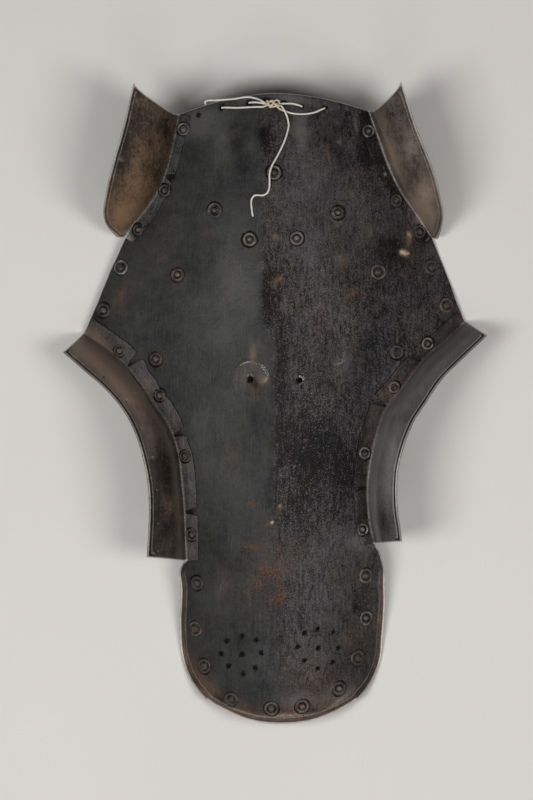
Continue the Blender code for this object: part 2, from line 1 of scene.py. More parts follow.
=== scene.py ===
"""The looks of a riveted iron horse head armour: hammered sheet, worn rims with painted highlights, dished
washers and twine, with painted shade at notches, holes and washers.

The drawing's millimetres are those of the face: +X to the viewer's right, +Y towards the crest, +Z out of
the face. Each sheet is a fine grid shaped to the same named sizes as its solid, and then given its wall.
"""

import math
import random
from types import SimpleNamespace

import bmesh
import bpy
import numpy as np
from mathutils import Matrix, Vector, noise
from mathutils.kdtree import KDTree


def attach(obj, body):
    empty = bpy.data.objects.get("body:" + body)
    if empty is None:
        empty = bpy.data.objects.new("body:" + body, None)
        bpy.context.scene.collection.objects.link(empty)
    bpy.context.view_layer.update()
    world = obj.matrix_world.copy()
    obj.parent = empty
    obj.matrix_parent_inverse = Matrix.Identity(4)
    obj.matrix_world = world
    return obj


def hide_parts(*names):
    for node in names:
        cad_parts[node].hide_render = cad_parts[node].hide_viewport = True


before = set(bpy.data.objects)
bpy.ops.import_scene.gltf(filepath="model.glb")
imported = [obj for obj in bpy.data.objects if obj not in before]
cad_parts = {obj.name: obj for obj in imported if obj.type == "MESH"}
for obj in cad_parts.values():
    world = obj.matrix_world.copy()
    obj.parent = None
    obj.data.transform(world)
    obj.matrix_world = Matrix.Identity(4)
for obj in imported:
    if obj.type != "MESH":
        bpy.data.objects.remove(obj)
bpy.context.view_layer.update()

MM = 0.001
MIDDLE = Vector((-1.2, -0.238, -6.764))  # where the drawing's middle lies in the part's frame

# ---------------------------------------------------------------- sizes, in millimetres

WALL = 1.3
GAP = 0.45  # between a tab and the plate under it
KEEL_BLUNT = 9.0
VAULT = (
    # along, keel height, side slope, roundness
    (-310, 34, 0.06, 0.005),
    (-275, 53, 0.12, 0.0053),
    (-220, 67, 0.16, 0.005),
    (-140, 77, 0.19, 0.0036),
    (-60, 85, 0.21, 0.0025),
    (0, 90, 0.22, 0.002),
    (75, 92, 0.22, 0.0014),
    (160, 88, 0.2, 0.0022),
    (240, 80, 0.18, 0.0023),
    (300, 68, 0.16, 0.0023),
)
KEEL_DRIFT = 7.0
KEEL_DRIFT_FROM = -20.0
KEEL_DRIFT_TO = -200.0
GUARDS = {
    # crease x, crease y, rim x, rim y, rise, tab width
    "ear_guard_left": (
        (-90.3, 275, -132, 303, 46, 12),
        (-94, 254, -142.5, 258.5, 46, 9.5),
        (-101, 223.5, -151.5, 227, 44, 8.5),
        (-110, 202, -158, 200, 39, 9),
        (-121.6, 185, -161, 180, 31, 11),
        (-134.5, 169.6, -157, 167.5, 18, 11.5),
        (-141.5, 158, -147, 158, 6, 9),
    ),
    "ear_guard_right": (
        (90, 278, 119.3, 304.5, 46, 10),
        (98.8, 253.2, 134.5, 258, 46, 13.5),
        (110.2, 222.3, 148.5, 223.5, 44, 11.5),
        (118.8, 204.7, 155.5, 199.5, 39, 11),
        (132, 185, 159.6, 178, 30, 10),
        (142.5, 169.6, 157.5, 165.5, 17, 10.5),
        (151, 157, 154, 156.5, 6, 8),
    ),
    "eye_guard_left": (
        (-180.5, 67, -199, 49.5, 36, 16),
        (-159, 52.5, -179, 32, 38, 16.5),
        (-140, 36, -161, 16.5, 38, 15.5),
        (-126, 17.5, -146, 0, 38, 14),
        (-112.5, -2, -134.5, -18, 38, 13.5),
        (-99.5, -21.5, -127, -36.5, 38, 13),
        (-91, -45, -121.5, -57, 38, 12.5),
        (-87, -75, -117.5, -82, 38, 13),
        (-84.6, -103, -117, -107, 38, 12),
        (-83.5, -127, -118, -127, 37, 12),
        (-82.5, -149, -119, -145.5, 36, 10.5),
    ),
    "eye_guard_right": (
        (181.5, 78, 201.2, 65, 36, 12.5),
        (163.4, 60, 179, 44.5, 38, 13),
        (142, 42, 158, 23.5, 38, 13.5),
        (122.6, 16.2, 142.5, 1, 38, 15),
        (107.5, -2.4, 131, -17, 38, 15.5),
        (99.8, -20.4, 124.5, -32, 38, 14.5),
        (94.7, -39, 120.3, -45, 38, 15),
        (90.5, -62, 116, -64, 38, 14),
        (88.5, -80, 115, -82, 38, 13),
        (89, -97, 115.6, -99.5, 38, 13),
        (90.8, -114, 117.8, -116, 37, 13),
        (95, -132.5, 119.7, -130.6, 36, 12),
    ),
}
NOTCHES = {
    # where the tabs are cut apart, counted in rows of the guard's table
    "ear_guard_left": (2.3,),
    "ear_guard_right": (2.95,),
    "eye_guard_left": (2.05, 5.4, 8.0),
    "eye_guard_right": (2.1, 4.05, 8.0),
}
NOTCH_FOOT = 1.6
NOTCH_MOUTH = 9.0
NOTCH_REACH = 13.0  # how far along a tab its side is cut slanting
FLARE = ((0.0, 0.0), (0.13, 0.36), (0.45, 0.73), (0.88, 0.93), (1.0, 1.0))  # share out, share up
CREST_RISE = 18.0
CREST_POWER = 1.8
TEMPLE_BULGE = 0.6
NOSE_SIDE_LEFT = ((-82.5, -149.0), (-87.0, -154.0), (-88.6, -185.0), (-89.3, -221.0))
NOSE_SIDE_RIGHT = ((95.0, -132.5), (101.5, -145.0), (105.4, -180.0), (104.0, -221.0))
NOSE_DEPTH = 83.5
NOSE_POWER = 2.2
NOSE_CORNER = 45.0  # degrees round the nose end that each side takes
LACING_HOLE = 1.7
LACING_HOLES = (
    (-71.5, 274), (-49.6, 280.7), (-23.6, 285.4), (-7.3, 287.5), (9.9, 285.6), (26.4, 281.8),
    (48.2, 280.4), (70.7, 276),
)
LACED = (1, 2, 5, 6)  # the lacing holes that the string goes through
MIDDLE_HOLE = 2.4
MIDDLE_HOLES = ((-22.3, 22.8), (24.5, 22.0))
BREATHING_HOLE = 1.5
BREATHING_HOLES = (
    (-30.4, -238.6), (-44.7, -225.6), (-30.4, -220.9), (-17.1, -224.7), (-12.4, -237), (-18.1, -251.3),
    (-29.5, -257), (-43.1, -249.4), (-50.4, -238), (41.8, -232.6), (29.1, -218), (41.8, -213.9),
    (56.1, -217.1), (60.8, -232.8), (56.1, -246.2), (41.8, -251.8), (29.1, -244.2), (22.8, -231.3),
)
CUTTER_DEPTH = 3.6
HOLE_SIDES = 20
SHADE_WALL_IN_USED = 0.42  # the share of a small hole that a near-black wall, painted shade, takes on its way through the sheet
SHADE_WALL_IN_EMPTY = 0.66  # and of a lacing hole with no string in it
BROKEN_EDGE = 0.3  # how far a sheet's sharp edges are taken off
SHARP = 55.0  # and the turn in degrees that counts as sharp

# Fine grids
PLATE_ROWS = {"ear": 54, "temple": 44, "eye": 112, "nose side": 38, "nose end": 46}
PLATE_COLUMNS = 120
RIM_COLUMNS = (0.0, 0.006, 0.013, 0.021, 0.030, 0.038, 0.046, 0.056, 0.068)  # shares of half the width
RIM_BEND = 0.046  # the share where the nose end's rim is bent outwards
GUARD_STEP = 1.8
TAB_COLUMNS = (1.0, 0.93, 0.8, 0.6, 0.4, 0.25)  # shares of a tab's width
BEND_COLUMNS = (0.0, 0.25, 0.5, 0.75)  # shares of the way round the bend
FLANGE_COLUMNS = 13
END_SAG = {
    # how far the crest end of each flange is hollowed
    "ear_guard_left": 3.8,
    "ear_guard_right": 5.2,
    "eye_guard_left": 0.6,
    "eye_guard_right": 0.0,
}
END_REACH = 26.0  # and how far along the flange that fades
BEND = 2.6  # how far from the crease the bend begins
BEND_MOST = 0.2  # the largest share of a tab or a flange that the bend takes
BEND_OUT = 1.2  # how much further the bend reaches on the flange
TAB_WOBBLE = (0.10, 0.07)  # the share by which a tab's width varies, and its waves for each millimetre
BEAD = (5.2, 4.2, 3.4, 2.7, 2.1, 1.5, 1.0, 0.5, 0.0)  # columns at a flange's rim, distance from it
BEAD_GROOVE = (2.9, 0.9, 0.42)  # distance from the rim, half width, depth
BEAD_RISE = (1.0, 0.9, 0.34)
BEAD_SHARE = {"ear_guard_left": 0.45, "ear_guard_right": 0.45, "eye_guard_left": 1.0, "eye_guard_right": 1.0}
BEAD_ROOM = 30.0  # a flange shorter than this has a smaller bead
BEAD_WAY = (0.6, 0.8)  # how far it rises outwards and upwards
CREASE_COLUMN = 1  # counted from a tab's last column
BAND_COLUMN = 6

# Hammer work and blows
HAMMER = ((0.020, 0.55), (0.055, 0.22), (0.16, 0.05))  # waves for each millimetre, height
DENTS = (
    # x, y, radius, depth
    (-20, 24, 13, 1.1), (26, 22, 9, 0.6), (126, 150, 9, 0.9), (-60, 95, 24, 0.7), (52, 60, 26, 0.7),
    (88, 12, 16, 0.7), (-35, -60, 20, 0.5), (30, -110, 22, 0.6), (-10, -160, 18, 0.6),
    (58, -175, 14, 0.8), (72, 235, 15, 0.8), (-40, 225, 22, 0.6),
)
HAMMER_SLICE = 90  # how far apart in the noise the sizes of hammer work are taken
DENT_FALL = 1.6  # how steeply a dent's side fades
DENT_END = 6.0  # and the square of the radii at which it ends
CRATER = (-21.6, 22.6, 17.0, 1.6, 0.45)  # ring round the left hole: x, y, radius, half width, height
RINGS = (
    # bright arcs: x, y, radius, half width, way to the arc's middle, its reach, amount
    (-21.6, 22.6, 17, 0.25, 112, 10, 0.5),
    (-21.6, 22.6, 17.2, 0.25, 34, 11, 0.62),
    (-21.6, 22.6, 15.4, 0.3, 40, 12, 0.5),
    (-22.3, 22.8, 4.4, 0.3, 90, 5, 0.35),
    (24.5, 22, 3.7, 0.6, 60, 7, 1),
)
NICKS = (
    # small bends in the plate's edge: x, y, reach, depth
    (99.6, -151.5, 3.6, 1.9), (103.5, -228, 9, 0.7), (-89, -172, 7, 0.7), (-89, -208, 10, -0.6),
    (-172, 96, 9, 0.5), (172, 98, 8, 0.6), (-156, 128, 8, -0.5),
)
LOW_SHEET = (1.0, 14.0)  # heights off the floor between which the hammer work fades in
RIM_REACH = 8.0  # how far a rim is felt
SIDE_REACH = 40.0  # and the edge of the grained side
NOSE_GROOVE = (0.6, 1.6, 0.5)  # the groove at the nose end's bend: depth, how steeply it begins and ends
NOSE_LIFT = 0.22  # rise of the nose end's rim for each millimetre outwards
NOSE_CLEAR = (0.3, 0.8)  # how far it clears the floor, and how steeply it gets there
NOSE_TURN_ROWS = 6  # rows in which the nose's edge turns outwards

# Wear, painted shade and painted highlights that follow the form
MARK_FALL = 1.4  # how steeply a mark fades towards its reach
BORDER_ABOVE = -11.0  # where the plate's grained side begins above the brow, along X
BORDER_BELOW = 1.0  # and below it
BORDER_MOVES = (80.0, 52.0)  # from where to where along Y it shifts
BORDER_FADES = (-100.0, -150.0)  # and blurs
BORDER_SOFT = (-2.0, 4.0)  # how it sets in, from side to side
BROW = (165.0, 120.0)  # where the dark middle of the grained side begins
NOSE_BRIDGE = (-95.0, -150.0)  # and ends
NOSE_RIM_FROM = (-155.0, -175.0)  # where the plate's bent and tan rim begins
NOTCH_SHADE = 4.5  # how far the painted shade at a notch's foot reaches
NOTCH_SHADE_SHIFT = (5.0, -1.5)  # and where it lies: inwards from the crease, and along Y
HOLE_SHADE = 1.0  # how far the painted shade round a hole reaches
BREATHING_SHADE = 0.6
LIT_HOLES_FROM = 20.0  # beyond this X the holes' lower edges carry a painted highlight
LIT_SIDE = (0.5, -0.87)  # the way to that edge
LIP_SOFT = (0.5, 3.5)  # how the tan sets in towards the rim
TAB_EDGE = 3.6  # how far from a tab its finish fades out
TAB_SOFT = (0.05, 0.35)  # and how it sets in
END_RIM = 0.3  # how much further off the rims at a guard's two ends seem
CREASE_BAND = 9.0  # how wide the painted light beside a guard's crease is
CREASE_LINE = 1.8  # and how far the painted highlight and wear on it reach
LIP_REACH = 6.0  # how far from its rim a guard has a lip

# Rivets
RIVET_SIZES = {
    # washer radius, head radius, head height
    "large": (8.3, 4.3, 3.2),
    "plain": (7.3, 3.8, 2.9),
    "small": (6.2, 3.5, 2.7),
}
LARGE_RIVET = "rivet_nose_8"  # those through the guards' tabs are small
RING_ROOM = (0.9, 0.7)  # what a washer's ring leaves free at the head and at the washer's edge
WASHER_SPREAD = (0.97, 1.03)  # by chance, as shares
HEIGHT_SPREAD = (0.80, 1.02)
DISH_SPREAD = (0.65, 1.0)
LEAN = 2.5  # degrees
HEAD_OFF = 0.3  # how far a head is beaten aside
OUT_OF_ROUND = (0.30, 0.35)  # how far a washer is beaten out, and the waves for each millimetre
UNEVEN = (0.24, 0.45)  # and up and down
HEAD_UNEVEN = (0.30, 0.8)
SHANK = 1.7
PEENED = 3.1
PEENED_HEIGHT = 1.5
RIVET_STEPS = 28
WELD = 0.002  # points closer than this become one
RIVET_CHANCE = 37
WASHER_SHADOW_AND_GRIME = 1.1  # how far a dark skirt, painted shadow and grime, reaches out round a washer
RIVETS = {
    # x, y, share of the head's size, place of the washer's pale ring (0 at the head, 1 at the edge),
    # how pale the ring is (painted highlight and wear), how pale the head is, how dark the painted shade in
    # the gap round the head is, brown
    "rivet_ear_left": (
        (-85.8, 260.8, 0.95, 0.9, 0.26, 0.3, 0.1, 0.35),
        (-103.8, 202.4, 0.8, 0.6, 0.04, 0.05, 0.75, 0.2),
        (-129, 165.4, 0.7, 0.4, 0.04, 0.55, 0.95, 0.15),
    ),
    "rivet_ear_right": (
        (89.6, 258.9, 0.72, 0.9, 0.34, 0.16, 0.8, 0.15),
        (115.8, 193.2, 0.92, 0.9, 0.07, -0.16, 0.3, 0.2),
        (138.3, 163.6, 0.92, 0.95, 0.09, -0.12, 0.4, 0.35),
    ),
    "rivet_temple_left": (
        (-145.8, 129.7, 0.86, 0.8, 0.34, -0.12, 0.6, 0),
        (-162.6, 88.8, 0.8, 0.5, 0.04, 0.32, 0.9, 0.1),
    ),
    "rivet_temple_right": (
        (150.1, 129.7, 0.8, 0.88, 0.05, 0.08, 0.25, 0.2),
        (164.4, 93.6, 0.8, 0.85, 0.12, 0, 0.3, 0.45),
    ),
    "rivet_forehead": (
        (0, 219, 0.8, 0.7, 0.16, -0.05, 0.6, 0.25),
        (-56.5, 183.4, 0.72, 0.92, 0.03, 0.14, 0.6, 0.25),
        (60.6, 181.5, 0.74, 0.15, 0.12, 0.4, 0.55, 0.2),
        (-23.3, 155.7, 0.74, 0.5, 0.24, 0.42, 0.7, 0.3),
        (21.6, 156.8, 0.78, 0.55, 0.26, 0.56, 0.45, 0.4),
        (-91.7, 122.4, 0.72, 0.35, 0.14, 0.6, 0.9, 1.05),
        (99.1, 124.9, 0.86, 0.95, 0.32, 0.15, 0.3, 0.15),
    ),
    "rivet_cheek_left": (
        (-112.5, 42.3, 0.82, 0.3, 0.02, 0.16, 0.65, 0.6),
    ),
    "rivet_cheek_right": (
        (116.9, 48.9, 0.95, 0.3, 0.11, -0.28, 0.2, 0.2),
    ),
    "rivet_eye_left": (
        (-146.7, 50.4, 0.85, 0.5, 0.08, 0.2, 0.6, 0.95),
        (-108, 7.8, 0.92, 0.4, 0.02, 0.28, 0.35, 0.6),
        (-84, -49.9, 0.92, 0.5, 0.03, -0.04, 0.2, 0.5),
        (-77.8, -124.5, 0.92, 0.8, 0.1, 0.16, 0.25, 0.3),
    ),
    "rivet_eye_right": (
        (146, 57, 0.78, 0.65, 0.46, 0.1, 0.95, 0.35),
        (114, 15.5, 0.75, 0.6, 0.28, -0.28, 0.3, 0.75),
        (86, -47, 0.75, 0.6, 0.3, -0.2, 0.5, 0.4),
        (84, -119.7, 0.82, 0.6, 0.5, 0.46, 0.75, 0),
    ),
    "rivet_nose": (
        (-73.4, -171, 0.85, 0.4, 0.03, 0, 0.15, 0.35),
        (-75, -214.6, 0.92, 0.8, 0.14, 0, 0.5, 0.6),
        (-66.5, -250.3, 0.92, 0.8, 0.05, 0.04, 0.6, 0.25),
        (-40.8, -281.6, 0.82, 0.5, 0.02, -0.1, 0.55, 0.6),
        (-2.5, -290.2, 0.82, 0.6, 0.16, 0.24, 0.6, 0.8),
        (26.9, -288, 0.78, 0.5, 0.18, 0.4, 0.9, 0.7),
        (62.1, -271.2, 0.78, 0.4, 0.1, 0.62, 1, 0.35),
        (79.8, -242.3, 0.78, 0.5, 0.05, 0.04, 0.4, 0.6),
        (87.7, -204.4, 0.7, 0.8, 0.4, 0.34, 0.9, 0.05),
        (87.4, -163.9, 0.82, 0.85, 0.34, 0.1, 0.6, 0.25),
    ),
}

# String
CORD = 0.9  # radius of the spun twine
CORD_ROOM = 1.45  # from the sheet to the middle of the twine
BEHIND = -WALL - 2 * CORD_ROOM  # from a twine on the face to one behind the sheet
TURN = 2.0  # radius of the cord's turn into a hole
CORD_STEP = 0.7  # between the rings of a tube
CORD_WELD = 0.01
PATH_STEP = 4.5  # between the points that tell its route
ROUTE_FINE = 12  # places looked at for each station of a route
CORD_SIDES = 18
PLIES = 3
PLY_DEPTH = 0.11
PLY_PITCH = 6.5
KNOT_CORD = 0.95  # the share of its radius that the twine keeps in the knot
KNOT_SOIL = 0.65  # how soiled the knot is
KNOT_STRANDS = (
    # x, y, lift above a twine that lies on the face
    (
        (-10.6, 285.6, 2.2), (-7.6, 284.2, 2), (-4.6, 281.8, 2.3), (-1.4, 280.7, 2.2), (1.8, 281.4, 2),
        (4.6, 283.4, 1.6), (4.4, 286, 1.7), (2, 286.9, 2.4), (0, 285, 3.4), (1, 282.6, 4.2),
        (3.6, 281.4, 3.8), (6.4, 281.2, 2.5), (8.2, 279, 2.5),
    ),
    (
        (-10.4, 280.9, 0.6), (-7.4, 282, 0.8), (-4.8, 284.6, 1.2), (-2.6, 286.4, 2), (-0.4, 286, 3),
        (-0.6, 283.6, 4), (-2.6, 281.4, 3.6), (-5, 282.4, 3.8), (-5.2, 285.2, 3), (-2.4, 285.6, 2.2),
        (1.6, 282, 0.8), (5, 279.2, 0.4), (8.4, 277.5, 0.2),
    ),
    (
        (-10.6, 284.3, 0), (-6, 283.6, 0.3), (-1, 283.2, 0.4), (3, 283.9, 0.4), (8, 283.8, 0.8),
    ),
    (
        (-7, 285.6, 0.2), (-6, 286.6, 1.8), (-5.4, 284.6, 3.9), (-4.2, 281.6, 3.4), (-3, 280.2, 1.4),
        (-2.6, 281.4, 0.2),
    ),
)

# ---------------------------------------------------------------- camera, floor and lights

VIEW_HEIGHT = 760.0  # what the camera's long side takes in
VIEW_LENS = 600.0
VIEW_FILM = 36.0
VIEW_MIDDLE = (-8.325, 3.087)
VIEW_LEVEL = 45.0
VIEW_FAR = 100.0  # metres that the camera sees
FLOOR = 40.0  # metres across
LIT_PLACE = (0.0, 0.0, 0.04)  # what the lamps face, in metres
LAMPS = {
    # name: place and size in metres, power, colour
    "key_light": ((-1.25, -0.4, 2.3), (0.8, 1.4), 35.0, (1.0, 0.99, 0.97)),
    "fill_light": ((1.3, -0.4, 2.25), (0.8, 1.4), 28.0, (1.0, 0.98, 0.96)),
    "nose_light": ((0.0, -1.8, 2.0), (1.4, 0.9), 8.0, (1.0, 0.98, 0.96)),
}
STUDIO_GLOW = ((1.0, 0.99, 0.97, 1.0), 0.07)


def new_object(name, data):
    made = bpy.data.objects.new(name, data)
    bpy.context.scene.collection.objects.link(made)
    return made


def new_mesh(name, bm):
    """The mesh of a finished bmesh."""
    mesh = bpy.data.meshes.new(name)
    bm.to_mesh(mesh)
    bm.free()
    return mesh


def softbox(name, place, size, power, colour):
    light = bpy.data.lights.new(name, "AREA")
    light.shape = "RECTANGLE"
    light.size, light.size_y = size
    light.energy = power
    light.color = colour
    lamp = new_object(name, light)
    lamp.location = place
    lamp.rotation_euler = (Vector(LIT_PLACE) - Vector(place)).to_track_quat("-Z", "Y").to_euler()


def set_camera():
    lens = bpy.data.cameras.new("camera")
    lens.lens = VIEW_LENS
    lens.sensor_fit = "VERTICAL"
    lens.sensor_height = VIEW_FILM
    lens.sensor_width = VIEW_FILM
    lens.clip_end = VIEW_FAR
    camera = new_object("camera", lens)
    distance = VIEW_HEIGHT * VIEW_LENS / VIEW_FILM
    camera.location = Vector((*VIEW_MIDDLE, VIEW_LEVEL + distance)) * MM
    bpy.context.scene.camera = camera


def set_floor():
    bm = bmesh.new()
    bmesh.ops.create_grid(bm, x_segments=2, y_segments=2, size=FLOOR / 2)
    floor = new_object("floor", new_mesh("floor", bm))
    floor.data.materials.append(pale_floor())


def set_lights():
    for name, lamp in LAMPS.items():
        softbox(name, *lamp)
    world = bpy.data.worlds.new("studio")
    world.use_nodes = True
    back = world.node_tree.nodes["Background"]
    back.inputs["Color"].default_value, back.inputs["Strength"].default_value = STUDIO_GLOW
    bpy.context.scene.world = world
    bpy.context.scene.view_settings.view_transform = "Standard"


# ---------------------------------------------------------------- finishes

BROWN_DEPTH = (0.020, 0.013, 0.010)
COOL = (0.95, 0.98, 1.08)
WARM = (1.05, 0.99, 0.95)
RUST_DARK = (0.055, 0.032, 0.021)
RUST_BRIGHT = (0.185, 0.092, 0.052)
BARE_METAL_AND_HIGHLIGHT = (0.55, 0.50, 0.47)
DRIED_SOIL = (0.80, 0.65, 0.40)
GROOVE_SHADE = (0.005, 0.004, 0.004)
IRON_RELIEF = 0.42  # millimetres
TWINE_RELIEF = 0.08
MARKS = ("tone", "brown", "rust", "grain", "worn", "soil", "rim", "lip", "side", "fade")
SPECKLES = {
    # waves to the metre, detail, roughness
    "clouds": (15, 4, 0.55),
    "mottle": (75, 6, 0.65),
    "rough": (300, 5, 0.75),
    "fine": (620, 4, 0.75),
    "dust": (1000, 2, 0.6),
}
STREAKS = {
    # waves to the metre along X, Y and Z, detail, roughness
    "brushed": ((620, 40, 60), 4, 0.65),
    "combed": ((430, 95, 60), 3, 0.6),
}
HAIRS = {"stretch": (1500, 45, 30), "turn": -7}


class Socket:
    """One output of a shader node. Sums on it add Math nodes."""

    def __init__(self, finish, output):
        self.finish, self.output = finish, output

    def math(self, operation, first, second):
        return self.finish.node("ShaderNodeMath", {"operation": operation}, {0: first, 1: second})

    def __add__(self, other):
        return self.math("ADD", self, other)

    def __sub__(self, other):
        return self.math("SUBTRACT", self, other)

    def __mul__(self, other):
        return self.math("MULTIPLY", self, other)

    def __rsub__(self, other):
        return self.math("SUBTRACT", other, self)

    __radd__, __rmul__ = __add__, __mul__

    def above(self, low, high):
        """0 below low, 1 above high, and a soft step between them."""
        settings = {"interpolation_type": "SMOOTHSTEP"}
        values = {"Value": self, "From Min": low, "From Max": high}
        return self.finish.node("ShaderNodeMapRange", settings, values)

    def held(self):
        """Kept between 0 and 1."""
        return self.finish.node("ShaderNodeClamp", {}, {"Value": self})

    def band(self, middle, half, soft):
        """1 within half of the middle, with soft sides."""
        from_middle = self.math("ABSOLUTE", self - middle, 0.0)
        return 1 - from_middle.above(half, half + soft)


class Finish:
    """A material being put together."""

    def __init__(self, name):
        self.material = bpy.data.materials.new(name)
        self.material.use_nodes = True
        self.tree = self.material.node_tree
        self.shader = self.tree.nodes["Principled BSDF"]

    def plug(self, socket, value):
        if isinstance(value, Socket):
            self.tree.links.new(value.output, socket)
        elif isinstance(value, tuple) and socket.type == "RGBA":
            socket.default_value = (*value, 1.0)
        else:
            socket.default_value = value

    def node(self, kind, settings, values, output=0):
        made = self.tree.nodes.new(kind)
        for name, value in settings.items():
            setattr(made, name, value)
        for name, value in values.items():
            self.plug(made.inputs[name], value)
        return Socket(self, made.outputs[output])

    def place(self, stretch=(1.0, 1.0, 1.0), turn=0.0):
        points = self.node("ShaderNodeTexCoord", {}, {}, "Object")
        values = {"Vector": points, "Rotation": (0.0, 0.0, math.radians(turn)), "Scale": stretch}
        return self.node("ShaderNodeMapping", {}, values)

    def noise(self, scale, detail=3.0, roughness=0.5, **placing):
        points = self.place(**placing)
        values = {"Vector": points, "Scale": scale, "Detail": detail, "Roughness": roughness}
        return self.node("ShaderNodeTexNoise", {}, values)

    def away(self, x, y):
        """How many millimetres of the drawing each point lies from a place on the face."""
        spot = ((x + MIDDLE.x) * MM, (y + MIDDLE.y) * MM, 0.0)
        values = {0: self.place(stretch=(1.0, 1.0, 0.0)), 1: spot}
        return self.node("ShaderNodeVectorMath", {"operation": "DISTANCE"}, values, "Value") * (1 / MM)

    def attribute(self, name):
        return self.node("ShaderNodeAttribute", {"attribute_name": name}, {}, "Fac")

    def mix(self, share, first, second):
        values = {0: share, 6: first, 7: second}
        return self.node("ShaderNodeMix", {"data_type": "RGBA"}, values, 2)

    def bump(self, height, distance):
        values = {"Height": height, "Distance": distance * MM, "Strength": 1.0}
        return self.node("ShaderNodeBump", {}, values)

    def done(self, **values):
        for name, value in values.items():
            self.plug(self.shader.inputs[name.replace("_", " ")], value)
        return self.material


def pale_floor():
    finish = Finish("pale_floor")
    colour = finish.mix(finish.noise(3.0, 2.0), (0.70, 0.69, 0.67), (0.74, 0.73, 0.71))
    return finish.done(Base_Color=colour, Roughness=0.85)


def tinted(colour, tint):
    return tuple(part * share for part, share in zip(colour, tint, strict=True))


def read_sheet(finish, keeled):
    """The marks on a sheet's mesh, and its speckles of every size, centred on 0."""
    sheet = SimpleNamespace(**{mark: finish.attribute(mark) for mark in MARKS})
    for name, speckle in SPECKLES.items():
        setattr(sheet, name, finish.noise(*speckle) - 0.5)
    for name, (stretch, *grains) in STREAKS.items():
        setattr(sheet, name, finish.noise(1.0, *grains, stretch=stretch) - 0.5)
    if keeled:
        # The grained side ends in a ragged border, which blurs towards the nose.
        from_border = sheet.side - SIDE_REACH + sheet.mottle * 16 + sheet.rough * 9
        sheet.grain = sheet.grain * from_border.above(-4 - sheet.fade * 28, 4 + sheet.fade * 28)
    return sheet


def iron_light(sheet, patchy, cloudy, speckle):
    """How light the iron is, from 0 to 1: clouds, mottle, brush marks and speckle on the sheet's tone."""
    light = 0.36 + sheet.tone + sheet.clouds * (0.66 * cloudy)
    light = light + sheet.mottle * (sheet.grain * 0.06 + 0.58) * cloudy + sheet.brushed * 0.35
    light = light + sheet.rough * (patchy * 0.42 + speckle * 1.8)
    light = light + (sheet.fine * 1.2 + sheet.combed) * (patchy + speckle)
    light = light + sheet.dust * (patchy * 1.2 + speckle * 1.2)
    flakes = (sheet.fine + sheet.dust * 0.6).above(0.10, 0.20)
    return (light + flakes * patchy * 0.60).held()


def iron_colour(finish, sheet, light, smooth, grained, brown):
    """The iron's colour, and where it is browned and rusted."""
    hue = finish.noise(26.0, 3.0, 0.5, turn=40.0).above(0.40, 0.60)
    dark_iron, light_iron = (
        finish.mix(sheet.grain, flat, finish.mix(hue, tinted(rough, COOL), tinted(rough, WARM)))
        for flat, rough in zip(smooth, grained, strict=True)
    )
    browned = ((sheet.brown + sheet.rust * 0.45) * (1 + sheet.mottle * 1.3 + sheet.fine * 0.8)).held()
    rusted = sheet.fine + sheet.dust * 0.5 + sheet.rust * (0.23 + sheet.mottle * 0.7)
    rusted = rusted.above(0.10, 0.27) * sheet.rust.above(0.03, 0.16) * 0.8
    rust = finish.mix(sheet.dust.above(-0.04, 0.12), RUST_DARK, RUST_BRIGHT)
    colour = finish.mix(light, dark_iron, light_iron)
    colour = finish.mix(browned, colour, finish.mix(light, BROWN_DEPTH, brown))
    return finish.mix(rusted, colour, rust), browned, rusted


def rim_wear_and_highlights(finish, sheet, from_rim, ragged, lip, inner):
    """The rim's bright line, worn bare metal with a painted highlight; the line inside its groove; worn
    places and painted highlights; and hair scratches.
    """
    line = (1 - from_rim.above(0.8, 1.8)) * (0.8 + sheet.mottle * 1.2 + sheet.fine * 0.8)
    inner_line = ragged.band(sum(lip) + 1.2, 0.2, 0.7) * sheet.lip * (inner + sheet.fine)
    scratched = finish.noise(1.0, 1.0, 0.4, **HAIRS).above(0.73, 0.80) * 0.12
    return line + inner_line + sheet.worn * (0.8 + sheet.rough * 2.6 + sheet.fine * 1.6) + scratched


def add_rings(finish, sheet, bright):
    """The bright arcs round the middle holes."""
    for x, y, radius, half, way, reach, amount in RINGS:
        ring = finish.away(x, y).band(radius, half, 0.7) * (sheet.fine + sheet.dust).above(0.0, 0.16)
        along, up = radius * math.cos(math.radians(way)), radius * math.sin(math.radians(way))
        arc = 1 - finish.away(x + along, y + up).above(reach * 0.3, reach)
        bright = bright + ring * (0.04 + arc) * amount
    return bright


def add_pits(finish, bright, dark, pits):
    """Small pits, painted only: each has a painted highlight on its upper right and painted shade on its
    lower left.
    """
    for x, y in pits:
        bright = bright + (1 - finish.away(x + 0.5, y + 0.5).above(0.4, 1.1)) * 0.14
        dark = dark + (1 - finish.away(x - 0.5, y - 0.6).above(0.6, 1.8)) * 0.5
    return bright, dark


